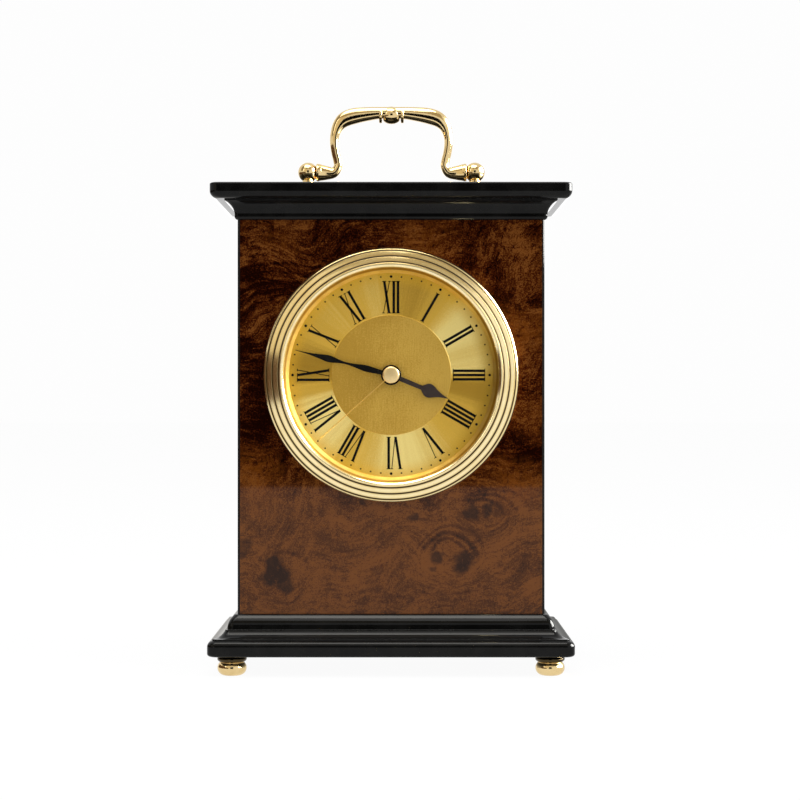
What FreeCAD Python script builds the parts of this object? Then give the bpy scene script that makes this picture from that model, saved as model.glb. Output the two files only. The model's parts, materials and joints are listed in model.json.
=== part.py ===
import FreeCAD, Part
import math
import os
import re
import Sketcher
from FreeCAD import Placement, Rotation, Vector

# A desk clock. It stands on the floor plane at z = 0, centred on the origin, and its dial faces -Y.
# Lengths are in millimetres and angles in degrees.

document = FreeCAD.newDocument("desk_clock")
sheet = document.addObject("Spreadsheet::Sheet", "dims")

sizes = {
    # body of the case, with its margins beside, over and under the bezel
    "side_margin": 10.5,
    "head_margin": 11.1,
    "foot_margin": 44.9,
    "body_depth": 66,
    "front_board": 9,
    "side_board": 9,
    "back_board": 5,
    "back_setback": 1,
    "edge_round": 1,
    "veneer": 0.6,
    "block_clearance": 0.8,
    # plinth
    "plinth_board_height": 6.6,
    "plinth_reach": 11.5,
    "plinth_nose_top": 2.6,
    "plinth_nose_bottom": 1.4,
    "plinth_moulding_height": 9.7,
    "ledge_reach": 1.2,
    "ovolo_reach": 4,
    "ovolo_height": 6,
    "ovolo_round": 7,
    "fillet_reach": 4.8,
    "fillet_height": 0.4,
    "plinth_cove_reach": 9.6,
    "plinth_cove_step": 0.5,
    "plinth_cove_round": 5.2,
    "plinth_screw_inset": 15,
    # cornice
    "cornice_height": 8,
    "bead_reach": 1.2,
    "bead_height": 1.3,
    "bead_round": 1.4,
    "cove_reach": 5,
    "cove_step": 0.5,
    "cove_round": 6,
    "top_board_height": 6.3,
    "top_reach": 10.5,
    "top_nose_bottom": 2.9,
    "top_nose_top": 0.6,
    # bun feet
    "foot_height": 8,
    "foot_outset": 2,
    "foot_radius": 5.9,
    "foot_pad": 3.6,
    "foot_belly": 2.9,
    "foot_waist": 4.9,
    "foot_waist_height": 5.2,
    "foot_collar": 5.5,
    "foot_collar_low": 5.7,
    "foot_collar_high": 7.4,
    "foot_collar_round": 1,
    "foot_stud": 2,
    "foot_stud_length": 5,
    # handle and its posts
    "post_inset": 27,
    "post_flange": 5,
    "post_flange_height": 1.4,
    "post_neck": 2.4,
    "post_ball": 4.2,
    "post_stud": 2,
    "post_stud_end": 1,
    "pivot_rise": 8.6,
    "bail_rise": 27.5,
    "bail_depth": 6,
    "bail_gap": 0.3,
    "bail_pin": 1.5,
    "bail_pin_reach": 0.6,
    "bail_bead": 3.7,
    "bail_bead_drop": 3.5,
    "bail_bead_half": 3.4,
    "bail_bead_end": 2.4,
    "bail_collar": 3.3,
    "bail_collar_start": 3.9,
    "bail_collar_width": 1.3,
    "handle_washer": 4.4,
    "handle_washer_thickness": 0.8,
    "handle_nut": 4,
    "handle_nut_height": 3.2,
    # wood screws, big in the plinth and small in the hinges
    "plinth_screw_head": 3.2,
    "plinth_screw_head_depth": 2,
    "plinth_screw_shank": 1.7,
    "plinth_screw_length": 28,
    "hinge_screw_head": 1.5,
    "hinge_screw_head_depth": 0.7,
    "hinge_screw_shank": 0.8,
    "hinge_screw_length": 4.4,
    # back door, its hinges and its catch
    "door_jamb": 12,
    "door_sill": 35.7,
    "door_lintel": 19.3,
    "door_gap": 0.8,
    "hinge_end": 20,
    "hinge_length": 18,
    "hinge_leaf_width": 9,
    "hinge_leaf": 0.9,
    "knuckle": 1.8,
    "knuckle_gap": 0.2,
    "knuckle_clearance": 0.3,
    "hinge_pin": 0.8,
    "hinge_screw_inset": 3,
    "hinge_screw_spread": 11,
    "stop_length": 30,
    "stop_depth": 5,
    "stop_lap": 6,
    "stop_grip": 5,
    "catch_radius": 2.2,
    "magnet_depth": 3,
    "strike_depth": 1,
    "catch_inset": 3,
    "knob_inset": 9,
    "knob_radius": 4,
    "knob_reach": 8,
    "knob_neck": 2,
    "knob_neck_reach": 3,
    "knob_round": 4.6,
    "knob_face": 2.2,
    "knob_stud": 1.5,
    "knob_stud_length": 3,
    # clock insert
    "dial_setback": 2.5,
    "dial_radius": 44.6,
    "dial_thickness": 0.5,
    "dial_hole": 3.1,
    "dial_play": 0.3,
    "cup_floor": 1.5,
    "cup_wall": 1.3,
    "cup_flange_width": 3.6,
    "cup_flange_thickness": 1.6,
    "cup_length": 15,
    "grip_inset": 2,
    "grip_length": 5,
    "grip_thickness": 0.7,
    "grip_clearance": 0.2,
    "ring_width": 2.2,
    "ring_slope": 1.7,
    "ring_height": 4.9,
    "crystal_clearance": 0.1,
    "crystal_thickness": 1.5,
    "bezel_lap": 2,
    "bezel_skirt_clearance": 0.2,
    "bezel_skirt_wall": 1.5,
    "bezel_lip_width": 1.7,
    "bezel_lip_gap": 0.7,
    "bezel_lip_rise": 5.2,
    "bezel_lip_edge": 1,
    "bezel_lip_bulge": 0.6,
    "bezel_second_width": 1.6,
    "bezel_second_rise": 4.9,
    "bezel_third_width": 1.7,
    "bezel_third_rise": 4.2,
    "bezel_fourth_rise": 3.2,
    "bezel_bead_gap": 0.5,
    "bezel_bead_bulge": 0.48,
    "bezel_groove": 0.5,
    "bezel_edge_round": 1.6,
    # hands
    "hour_angle": 112.5,
    "minute_angle": 284.6,
    "second_angle": 228.1,
    "hour_gap": 15.8,
    "minute_gap": 0.8,
    "second_gap": 1.5,
    "hour_stem": 1.9,
    "hour_neck": 1.5,
    "hour_spade": 5.4,
    "hour_point": 2.8,
    "hour_lobe_round": 3.6,
    "hour_cheek_round": 7,
    "hour_tip_round": 14,
    "minute_foot": 1.6,
    "minute_leaf": 2.7,
    "minute_neck": 1.4,
    "minute_blade": 2.4,
    "minute_round": 34,
    "hand_tip": 0.3,
    "second_foot": 0.8,
    "hand_thickness": 0.45,
    "hour_lift": 1.3,
    "minute_lift": 2.5,
    "second_lift": 3.7,
    "hour_hub": 4,
    "minute_hub": 3.9,
    "hub_thickness": 0.8,
    "second_cap": 3.4,
    "second_cap_thickness": 0.9,
    "second_cap_round": 0.5,
    # coaxial arbors, from the inside out
    "arbor_radius": 0.5,
    "minute_tube_bore": 0.56,
    "minute_tube": 1.25,
    "hour_tube_bore": 1.31,
    "hour_tube": 2.2,
    "bush_bore": 2.26,
    "bush_radius": 3,
    "bush_reach": 0.6,
    # movement
    "movement_side": 56,
    "movement_depth": 16,
    "movement_wall": 1.2,
    "movement_clearance": 0.5,
    "bay_top": 11.7,
    "bay_wall": 0.8,
    "layer_start": 1.7,
    "layer_pitch": 1.5,
    "wheel_thickness": 0.9,
    "bridge_thickness": 0.8,
    "bridge_top": 17.4,
    "cover_thickness": 1.2,
    "pillar_spread": 48,
    "pillar_low": 8,
    "pillar_high": 14.5,
    "pillar_radius": 3,
    "pillar_neck": 2.2,
    "movement_screw_head": 2,
    "movement_screw_head_depth": 0.9,
    "movement_screw_shank": 1,
    "movement_screw_length": 6,
    # wheels; tooth counts are plain numbers
    "motion_module": 0.46,
    "cannon_teeth": 12,
    "minute_teeth": 36,
    "minute_pinion_teeth": 10,
    "hour_teeth": 40,
    "centre_module": 0.306,
    "centre_teeth": 64,
    "third_pinion_teeth": 8,
    "third_teeth": 60,
    "seconds_pinion_teeth": 8,
    "seconds_module": 0.32,
    "seconds_teeth": 60,
    "intermediate_pinion_teeth": 10,
    "intermediate_module": 0.26,
    "intermediate_teeth": 50,
    "rotor_pinion_teeth": 10,
    "third_turn": 30,
    "intermediate_turn": 120,
    "rotor_turn": 150,
    "setting_arbor": 0.9,
    "setting_sleeve": 1.25,
    "setting_knob": 4.5,
    "setting_knob_gap": 0.3,
    "setting_knob_height": 3,
    "setting_knob_round": 0.6,
    "rotor_magnet": 2.4,
    "rotor_magnet_gap": 0.3,
    "rotor_magnet_height": 1.8,
    "rotor_pass": 1.8,
    # motor, circuit and battery
    "stator_left": 17,
    "stator_right": 18,
    "stator_low": 9.6,
    "stator_high": 17.4,
    "stator_arm": 4,
    "stator_hole": 3,
    "core_low": 20.5,
    "core_high": 23.5,
    "bobbin_half": 10,
    "bobbin_flange": 1,
    "bobbin_tube": 2,
    "bobbin_radius": 2.8,
    "coil_radius": 2.65,
    "board_left": 12,
    "board_right": 20.5,
    "board_low": 9.5,
    "board_high": 7.5,
    "board_thickness": 0.8,
    "chip_side": 4.5,
    "chip_height": 1,
    "chip_inset": 1.5,
    "quartz_radius": 0.9,
    "quartz_inset": 1.25,
    "quartz_length": 6,
    "cell_radius": 7.1,
    "cell_half": 24.4,
    "cell_button": 2.6,
    "cell_button_height": 1.2,
    "contact_thickness": 0.4,
    "contact_half": 4.5,
    "contact_tab": 2.2,
    # fits, and the overrun of every cutting shape past the face that it opens
    "running_fit": 0.05,
    "close_fit": 0.02,
    "loose_fit": 0.1,
    "overrun": 1,
}

# Sizes that follow from others: the insert is built outwards from its dial, and the case round the insert.
tied = {
    "cup_inner": "dial_radius + dial_play",
    "cup_outer": "cup_inner + cup_wall",
    "cup_flange": "cup_outer + cup_flange_width",
    "grip_outer": "cup_outer + grip_thickness",
    "insert_hole": "grip_outer + grip_clearance",
    "ring_opening": "dial_radius - ring_width",
    "ring_foot": "ring_opening - ring_slope",
    "crystal_radius": "dial_radius - crystal_clearance",
    "bezel_opening": "dial_radius - bezel_lap",
    "bezel_lip_outer": "bezel_opening + bezel_lip_width",
    "bezel_second_inner": "bezel_lip_outer + bezel_lip_gap",
    "bezel_second_outer": "bezel_second_inner + bezel_second_width",
    "bezel_third_inner": "bezel_second_outer + bezel_bead_gap",
    "bezel_third_outer": "bezel_third_inner + bezel_third_width",
    "bezel_fourth_inner": "bezel_third_outer + bezel_bead_gap",
    "bezel_skirt": "cup_flange + bezel_skirt_clearance",
    "bezel_radius": "bezel_skirt + bezel_skirt_wall",
    "body_width": "2 * (bezel_radius + side_margin)",
    "body_height": "2 * bezel_radius + head_margin + foot_margin",
    "body_rise": "foot_height + plinth_board_height + plinth_moulding_height",
    "dial_rise": "body_rise + foot_margin + bezel_radius",
    "corner_block": "body_width / 2 - side_board - cup_outer - block_clearance",
    "plinth_screw_run": "body_depth - 2 * plinth_screw_inset",
    "foot_spread": "body_width + 2 * foot_outset",
    "foot_run": "body_depth + 2 * foot_outset",
    "post_spread": "body_width - 2 * post_inset",
    "bail_bead_rise": "bail_rise - bail_bead_drop",
    "doorway_width": "body_width - 2 * (side_board + door_jamb)",
    "doorway_height": "body_height - door_sill - door_lintel",
    "doorway_rise": "body_rise + door_sill + doorway_height / 2",
    "hinge_spread": "doorway_height - 2 * hinge_end",
    "hour_length": "ring_foot - hour_gap",
    "hour_neck_run": "hour_length * 0.498",
    "hour_spade_run": "hour_length * 0.667",
    "hour_point_run": "hour_length * 0.811",
    "minute_length": "ring_foot - minute_gap",
    "minute_leaf_run": "minute_length * 0.263",
    "minute_neck_run": "minute_length * 0.474",
    "minute_blade_run": "minute_length * 0.697",
    "second_length": "ring_foot - second_gap",
}
formulas = {name: f"={formula}" for name, formula in tied.items()}
named = {**sizes, **formulas}

for row, (name, value) in enumerate(named.items(), start=1):
    sheet.set(f"A{row}", name)
    sheet.set(f"B{row}", str(value))
    sheet.setAlias(f"B{row}", name)
document.recompute()

# Shape of the teeth, as shares of a wheel's module, and their pressure angle.
addendum_share = 0.75
dedendum_share = 1.05
backlash_share = 0.16
pressure = math.radians(25)

# Handle sections from its foot to the middle of its bar: distance out as a share of the foot's, height as a
# share of the handle's rise, then half thickness and half depth as shares of the handle's depth.
bail_shares = (
    (1.000, 0.000, 0.600, 0.600),
    (0.905, -0.007, 0.500, 0.510),
    (0.795, 0.000, 0.375, 0.450),
    (0.738, 0.085, 0.310, 0.420),
    (0.744, 0.180, 0.300, 0.420),
    (0.770, 0.300, 0.300, 0.430),
    (0.787, 0.455, 0.310, 0.450),
    (0.774, 0.588, 0.340, 0.465),
    (0.730, 0.712, 0.430, 0.480),
    (0.650, 0.806, 0.530, 0.490),
    (0.522, 0.860, 0.560, 0.490),
    (0.333, 0.892, 0.490, 0.490),
    (0.150, 0.909, 0.420, 0.490),
    (0.000, 0.909, 0.420, 0.490),
)

# Levels and planes that several pieces share.
floor_z = "body_rise"
roof_z = f"({floor_z} + body_height)"
cap_low_z = f"({roof_z} + cornice_height)"
cap_z = f"({cap_low_z} + top_board_height)"
pivot_z = f"({cap_z} + pivot_rise)"
front_y = "(-body_depth / 2)"
rear_y = "(body_depth / 2)"
case_y = f"({front_y} + front_board)"
inside_x = "(body_width / 2 - side_board)"
door_face_y = f"({rear_y} - back_setback)"
door_back_y = f"({door_face_y} - back_board)"
dial_y = f"({front_y} + dial_setback)"
cup_y = f"({dial_y} + dial_thickness)"
movement_y = f"({cup_y} + cup_floor)"
cover_y = f"({movement_y} + movement_depth - cover_thickness)"
movement_rear_y = f"({movement_y} + movement_depth)"
movement_half = "(movement_side / 2)"
cavity_half = "(movement_side / 2 - movement_wall)"
bay_low = f"(dial_rise - {cavity_half})"
train_low = "(dial_rise - bay_top + bay_wall)"
train_high = f"(dial_rise + {cavity_half})"

nodes = {}


def cell(text):
    return re.sub(r"[a-z]\w*", lambda word: ("dims." if word[0] in named else "") + word[0], text)


def num(text):
    return float(sheet.evalExpression(cell(text)))


def keep(name, shape):
    shape.Label = name
    nodes[name] = shape
    return shape


def place(shape, x="0", y="0", z="0", turn=None):
    shape.Placement = Placement(Vector(), turn or Rotation())
    for edge, where in (("x", x), ("y", y), ("z", z)):
        shape.setExpression(f"Placement.Base.{edge}", cell(where))
    return shape


def box(name, x, y, z):
    solid = document.addObject("Part::Box", name)
    for size, (low, high) in (("Length", x), ("Width", y), ("Height", z)):
        solid.setExpression(size, cell(f"({high}) - ({low})"))
    return place(solid, x[0], y[0], z[0])


def rod(name, axis, radius, span, across):
    turns = {"x": Rotation(Vector(0, 1, 0), 90), "y": Rotation(Vector(1, 0, 0), -90), "z": Rotation()}
    solid = document.addObject("Part::Cylinder", name)
    solid.setExpression("Radius", cell(radius))
    solid.setExpression("Height", cell(f"({span[1]}) - ({span[0]})"))
    spot = list(across)
    spot.insert("xyz".index(axis), span[0])
    return place(solid, *spot, turn=turns[axis])


def fuse(name, *shapes):
    result = document.addObject("Part::MultiFuse", name)
    result.Shapes = list(shapes)
    return result


def group(name, *shapes):
    result = document.addObject("Part::Compound", name)
    result.Links = list(shapes)
    return result


def cut(name, base, *tools):
    result = document.addObject("Part::Cut", name)
    result.Base = base
    result.Tool = tools[0] if len(tools) == 1 else fuse(name + "_tools", *tools)
    return result


def common(name, first, second):
    result = document.addObject("Part::MultiCommon", name)
    result.Shapes = [first, second]
    return result


def copies(name, master, spots, turn=None):
    result = []
    for spot in spots:
        link = document.addObject("App::Link", name)
        link.LinkedObject = master
        result.append(place(link, *spot, turn=turn))
    return result


# A sketch from a closed path that runs anticlockwise. Each step is (x, y), reached by a straight line, or
# (x, y, bend, radius), reached by an arc that bulges out of the shape or into it.
def draw(body, plane, path):
    sketch = body.newObject("Sketcher::SketchObject", body.Name + "_sketch")
    support = [item for item in body.Origin.OriginFeatures if item.Role == plane][0]
    sketch.AttachmentSupport = (support, [""])
    sketch.MapMode = "FlatFace"
    corners = [Vector(num(step[0]), num(step[1]), 0) for step in path]
    ends = []
    for index, step in enumerate(path):
        start, end = corners[index - 1], corners[index]
        if len(step) == 2:
            sketch.addGeometry(Part.LineSegment(start, end))
            ends.append((1, 2))
            continue
        outward = step[2] == "out"
        radius = num(step[3])
        chord = end - start
        side = Vector(-chord.y, chord.x, 0).normalize() * (1 if outward else -1)
        rise = math.sqrt(max(radius ** 2 - (chord.Length / 2) ** 2, 0))
        centre = start + chord / 2 + side * rise
        first, last = (start, end) if outward else (end, start)
        begin = math.atan2(first.y - centre.y, first.x - centre.x)
        finish = math.atan2(last.y - centre.y, last.x - centre.x)
        if finish < begin:
            finish += 2 * math.pi
        circle = Part.Circle(centre, Vector(0, 0, 1), radius)
        sketch.addGeometry(Part.ArcOfCircle(circle, begin, finish))
        ends.append((1, 2) if outward else (2, 1))
    count = len(path)
    for index, step in enumerate(path):
        after = (index + 1) % count
        joint = Sketcher.Constraint("Coincident", index, ends[index][1], after, ends[after][0])
        sketch.addConstraint(joint)
    for index, step in enumerate(path):
        for kind, axis, where, value in (
            ("DistanceX", -2, step[0], corners[index].x),
            ("DistanceY", -1, step[1], corners[index].y),
        ):
            if value == 0:
                on_axis = Sketcher.Constraint("PointOnObject", index, ends[index][1], axis)
                sketch.addConstraint(on_axis)
                continue
            size = Sketcher.Constraint(kind, -1, 1, index, ends[index][1], value)
            sketch.setExpression(f"Constraints[{sketch.addConstraint(size)}]", cell(where))
        if len(step) == 4:
            size = Sketcher.Constraint("Radius", index, num(step[3]))
            sketch.setExpression(f"Constraints[{sketch.addConstraint(size)}]", cell(step[3]))
    return sketch


# Radius of an arc from its chord and how far it bulges.
def bulged(chord, bulge):
    return f"({chord})^2 / (8 * {bulge}) + {bulge} / 2"


# A turned piece: the path gives radius and height, round Z on the XZ plane or round Y on the XY plane.
def turned(name, plane, path):
    body = document.addObject("PartDesign::Body", name)
    sketch = draw(body, plane, path)
    spin = body.newObject("PartDesign::Revolution", name + "_turn")
    spin.Profile = sketch
    spin.ReferenceAxis = (sketch, ["V_Axis"])
    spin.Angle = 360
    return body


def plate(name, plane, path, thickness, both_sides=False):
    body = document.addObject("PartDesign::Body", name)
    pad = body.newObject("PartDesign::Pad", name + "_pad")
    pad.Profile = draw(body, plane, path)
    pad.SideType = "Symmetric" if both_sides else "One side"
    pad.setExpression("Length", cell(thickness))
    body.Tip = pad
    return body


# The right-hand side of an outline, from bottom to top, completed by its mirror image.
def mirrored(side):
    left = []
    for index in range(len(side) - 1, -1, -1):
        bend = side[index + 1][2:] if index + 1 < len(side) else ()
        left.append((f"-({side[index][0]})", side[index][1], *bend))
    return list(side) + left


# A board whose moulded edge runs all round it with mitred corners. The side gives the moulding's reach from
# the face of the case body, and height.
def moulded(name, side, widest):
    halves = []
    for plane, half, length in (
        ("XZ_Plane", "body_width / 2", "body_depth"),
        ("YZ_Plane", "body_depth / 2", "body_width"),
    ):
        path = mirrored([(f"{half} + {step[0]}", *step[1:]) for step in side])
        halves.append(plate(f"{name}_{plane}", plane, path, f"{length} + 2 * {widest}", both_sides=True))
    return common(name, *halves)


# A countersunk screw, head down, with its top at the origin, and the hole that it needs.
def screw(name, size, fit="0"):
    head, shank = f"{size}_head + {fit}", f"{size}_shank + {fit}"
    path = [
        ("0", "0"),
        (head, "0"),
        (shank, f"{size}_head_depth + {fit}"),
        (shank, f"{size}_length + {fit}"),
        ("0", f"{size}_length + {fit}"),
    ]
    return turned(name, "XZ_Plane", path)


# An involute wheel, its teeth set so that one points along the angle given as its phase.
def toothed(name, teeth, module, layer, spot, phase):
    count = round(num(teeth))
    pitch = count * num(module) / 2
    base = pitch * math.cos(pressure)
    tip = pitch + num(module) * addendum_share
    root = pitch - num(module) * dedendum_share
    start = max(root, base)

    def spread(radius):
        angle = math.acos(min(1, base / radius))
        half_tooth = math.pi / (2 * count) * (1 - backlash_share)
        return half_tooth + math.tan(pressure) - pressure - math.tan(angle) + angle

    def point(radius, angle):
        return Vector(radius * math.cos(angle), 0, radius * math.sin(angle))

    edges = []
    for tooth in range(count):
        middle = phase + 2 * math.pi * tooth / count
        flanks = []
        for side in (-1, 1):
            radii = (start, (start + tip) / 2, tip)
            flanks.append([point(radius, middle + side * spread(radius)) for radius in radii])
        feet = [point(root, middle + side * spread(start)) for side in (-1, 1)]
        if root < base:
            edges.append(Part.LineSegment(feet[0], flanks[0][0]).toShape())
        edges.append(Part.Arc(*flanks[0]).toShape())
        edges.append(Part.Arc(flanks[0][2], point(tip, middle), flanks[1][2]).toShape())
        edges.append(Part.Arc(*reversed(flanks[1])).toShape())
        if root < base:
            edges.append(Part.LineSegment(flanks[1][0], feet[1]).toShape())
        step = 2 * math.pi / count
        ahead = point(root, middle + step - spread(start))
        edges.append(Part.Arc(feet[1], point(root, middle + step / 2), ahead).toShape())
    wheel = document.addObject("Part::Feature", name)
    wheel.Shape = Part.Face(Part.Wire(edges)).extrude(Vector(0, num("wheel_thickness"), 0))
    return place(wheel, spot[0], layer, spot[1])


# Phase of the second of two wheels in mesh, so that its gap meets the first one's tooth.
def meshed(first_spot, first_phase, first_teeth, second_spot, second_teeth):
    across = num(second_spot[0]) - num(first_spot[0])
    up = num(second_spot[1]) - num(first_spot[1])
    line = math.atan2(up, across)
    passed = (line - first_phase) * num(first_teeth) / (2 * math.pi)
    return line + math.pi - (1 / 2 - passed) * 2 * math.pi / num(second_teeth)


def layer(index):
    return f"({movement_y} + layer_start + {index} * layer_pitch)"


def layer_end(index):
    return f"({layer(index)} + wheel_thickness)"


# Case body: a front board with black rounded edges and a veneer sheet let into its face.
half_body = "(body_width / 2)"
half_veneer = f"({half_body} - edge_round)"
front_path = [
    (half_body, case_y),
    (f"-{half_body}", case_y),
    (f"-{half_body}", f"{front_y} + edge_round"),
    (f"-{half_veneer}", front_y, "out", "edge_round"),
    (f"-{half_veneer}", f"{front_y} + veneer"),
    (half_veneer, f"{front_y} + veneer"),
    (half_veneer, front_y),
    (half_body, f"{front_y} + edge_round", "out", "edge_round"),
]
front_blank = place(plate("front_blank", "XY_Plane", front_path, "body_height"), z=floor_z)
front_hole_span = (f"{front_y} - overrun", f"{case_y} + overrun")
front_hole = rod("front_hole", "y", "insert_hole", front_hole_span, ("0", "dial_rise"))
keep("front_panel", cut("front_panel", front_blank, front_hole))

body_z = (floor_z, roof_z)
veneer_sheet = box("veneer_sheet", (f"-{half_veneer}", half_veneer), (front_y, f"{front_y} + veneer"), body_z)
keep("burl_veneer", cut("burl_veneer", veneer_sheet, front_hole))

screw_x = "(body_width / 2 - side_board / 2)"
plinth_spots = [
    (f"{across} * {screw_x}", f"{along} * plinth_screw_run / 2", "foot_height")
    for across in (-1, 1)
    for along in (-1, 1)
]
plinth_screw = screw("plinth_screw", "plinth_screw")
plinth_hole = screw("plinth_hole", "plinth_screw", "running_fit")
plinth_holes = group("plinth_holes", *copies("plinth_hole_copy", plinth_hole, plinth_spots))
keep("plinth_screws", group("plinth_screws", *copies("plinth_screw_copy", plinth_screw, plinth_spots)))

left_board = box("left_board", (f"-{half_body}", f"-{inside_x}"), (case_y, rear_y), body_z)
right_board = box("right_board", (inside_x, half_body), (case_y, rear_y), body_z)
keep("left_side", cut("left_side", left_board, plinth_holes))
keep("right_side", cut("right_side", right_board, plinth_holes))

block_y = (case_y, f"{case_y} + corner_block")
left_block = box("left_block", (f"-{inside_x}", f"-{inside_x} + corner_block"), block_y, body_z)
right_block = box("right_block", (f"{inside_x} - corner_block", inside_x), block_y, body_z)
keep("corner_blocks", group("corner_blocks", left_block, right_block))

# Plinth: a slab with a rounded nose, and over it an ovolo, a fillet and a cove.
slab_z = "foot_height + plinth_board_height"
slab_side = [
    ("plinth_reach - plinth_nose_bottom", "foot_height"),
    ("plinth_reach", "foot_height + plinth_nose_bottom", "out", "plinth_nose_bottom"),
    ("plinth_reach", f"{slab_z} - plinth_nose_top"),
    ("plinth_reach - plinth_nose_top", slab_z, "out", "plinth_nose_top"),
]
slab = moulded("plinth_slab", slab_side, "plinth_reach")
foot_spots = {
    f"foot_{depth}_{side}": (f"{across} * foot_spread / 2", f"{along} * foot_run / 2", "0")
    for depth, along in (("front", -1), ("rear", 1))
    for side, across in (("left", -1), ("right", 1))
}
stud_span = ("foot_height - overrun", "foot_height + foot_stud_length + running_fit")
stud_holes = [
    rod(name + "_hole", "z", "foot_stud + running_fit", stud_span, spot[:2])
    for name, spot in foot_spots.items()
]
keep("plinth_board", cut("plinth_board", slab, plinth_holes, *stud_holes))

ovolo_z = f"({floor_z} - ovolo_height)"
moulding_side = [
    ("plinth_cove_reach", slab_z),
    ("plinth_cove_reach", f"{slab_z} + plinth_cove_step"),
    ("fillet_reach", f"{ovolo_z} - fillet_height", "in", "plinth_cove_round"),
    ("fillet_reach", ovolo_z),
    ("ovolo_reach", ovolo_z),
    ("ledge_reach", floor_z, "out", "ovolo_round"),
]
moulding = moulded("plinth_moulding_blank", moulding_side, "plinth_cove_reach")
keep("plinth_moulding", cut("plinth_moulding", moulding, plinth_holes))

# Bun feet, each turned from one piece with its stud.
belly_out = "(foot_radius - foot_pad)"
belly_in = "(foot_radius - foot_waist)"
belly_up = "(foot_waist_height - foot_belly)"
foot_path = [
    ("0", "0"),
    ("foot_pad", "0"),
    ("foot_radius", "foot_belly", "out", f"({belly_out}^2 + foot_belly^2) / (2 * {belly_out})"),
    ("foot_waist", "foot_waist_height", "out", f"({belly_in}^2 + {belly_up}^2) / (2 * {belly_in})"),
    ("foot_collar", "foot_collar_low"),
    ("foot_collar", "foot_collar_high", "out", "foot_collar_round"),
    ("foot_waist", "foot_height"),
    ("foot_stud", "foot_height"),
    ("foot_stud", "foot_height + foot_stud_length"),
    ("0", "foot_height + foot_stud_length"),
]
for name, spot in foot_spots.items():
    keep(name, place(turned(name, "XZ_Plane", foot_path), *spot))

# Cornice: a small bead and a cove, and over them the top board with its rounded lower edge.
cove_side = [
    ("0", roof_z),
    ("bead_reach", f"{roof_z} + bead_height", "out", "bead_round"),
    ("cove_reach", f"{cap_low_z} - cove_step", "in", "cove_round"),
    ("cove_reach", cap_low_z),
]
cove = moulded("cornice_blank", cove_side, "cove_reach")
top_side = [
    ("top_reach - top_nose_bottom", cap_low_z),
    ("top_reach", f"{cap_low_z} + top_nose_bottom", "out", "top_nose_bottom"),
    ("top_reach", f"{cap_z} - top_nose_top"),
    ("top_reach - top_nose_top", cap_z, "out", "top_nose_top"),
]
top = moulded("top_blank", top_side, "top_reach")
post_x = {"left": "(-post_spread / 2)", "right": "(post_spread / 2)"}
post_hole_span = (f"{roof_z} - overrun", f"{cap_z} + overrun")
post_holes = [
    rod(f"post_hole_{side}", "z", "post_stud + loose_fit", post_hole_span, (across, "0"))
    for side, across in post_x.items()
]
keep("cornice_moulding", cut("cornice_moulding", cove, *post_holes))
keep("top_board", cut("top_board", top, *post_holes))

# Handle posts, each with a ball that the handle's pin turns in, and a stud down into the case.
washer_low = f"({roof_z} - handle_washer_thickness)"
nut_low = f"({washer_low} - handle_nut_height)"
post_path = [
    ("0", f"{nut_low} - post_stud_end"),
    ("post_stud", f"{nut_low} - post_stud_end"),
    ("post_stud", cap_z),
    ("post_flange", cap_z),
    ("post_neck", f"{cap_z} + post_flange_height"),
    ("post_neck", f"{pivot_z} - sqrt(post_ball^2 - post_neck^2)"),
    ("0", f"{pivot_z} + post_ball", "out", "post_ball"),
]
bore_low = "(post_spread / 2 - post_ball)"
pin_end = "(post_spread / 2 + bail_pin_reach)"
washers, nuts = [], []
for side, across in post_x.items():
    sign = "-" if side == "left" else ""
    reach = [f"{sign}({bore_low} - overrun)", f"{sign}({pin_end} + loose_fit)"]
    span = reach[::-1] if sign else reach
    bore = rod(f"post_bore_{side}", "x", "bail_pin + running_fit", span, ("0", pivot_z))
    blank = place(turned(f"post_blank_{side}", "XZ_Plane", post_path), across)
    keep(f"handle_post_{side}", cut(f"handle_post_{side}", blank, bore))
    stud_pass_span = (f"{nut_low} - overrun", f"{roof_z} + overrun")
    stud_pass = rod(f"stud_pass_{side}", "z", "post_stud + running_fit", stud_pass_span, (across, "0"))
    washer_span = (washer_low, roof_z)
    washer = rod(f"washer_blank_{side}", "z", "handle_washer", washer_span, (across, "0"))
    washers.append(cut(f"washer_{side}", washer, stud_pass))
    nut = document.addObject("Part::Prism", f"nut_blank_{side}")
    nut.Polygon = 6
    nut.setExpression("Circumradius", cell("handle_nut"))
    nut.setExpression("Height", cell("handle_nut_height"))
    place(nut, across, "0", nut_low)
    nuts.append(cut(f"nut_{side}", nut, stud_pass))
keep("handle_washers", group("handle_washers", *washers))
keep("handle_nuts", group("handle_nuts", *nuts))

# Handle: one smooth skin through its sections on each side, a bead between two collars in the middle of the
# bar, and a pin in each foot.
ring_points = 12
foot_x = num(f"{bore_low} - bail_gap")
centres = [Vector(foot_x * out, 0, num("bail_rise") * up) for out, up, thick, deep in bail_shares]
wires = []
for index, (out, up, thick, deep) in enumerate(bail_shares):
    before = centres[max(index - 1, 0)]
    after = centres[min(index + 1, len(centres) - 1)]
    along = (after - before).normalize()
    if index in (0, len(centres) - 1):
        along = Vector(-1, 0, 0)
    normal = along.cross(Vector(0, 1, 0)) * (thick * num("bail_depth"))
    depth = Vector(0, deep * num("bail_depth"), 0)
    turns = [2 * math.pi * turn / ring_points for turn in range(ring_points)]
    ring = [centres[index] + normal * math.cos(turn) + depth * math.sin(turn) for turn in turns]
    curve = Part.BSplineCurve()
    curve.interpolate(Points=ring, PeriodicFlag=True)
    wires.append(Part.Wire([curve.toShape()]))
half_bail = Part.makeLoft(wires, True, False)
other_half = half_bail.mirror(Vector(), Vector(1, 0, 0))
bead_low, bead_half = num("bail_bead_end"), num("bail_bead_half")
bead_z = num("bail_bead_rise")
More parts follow.
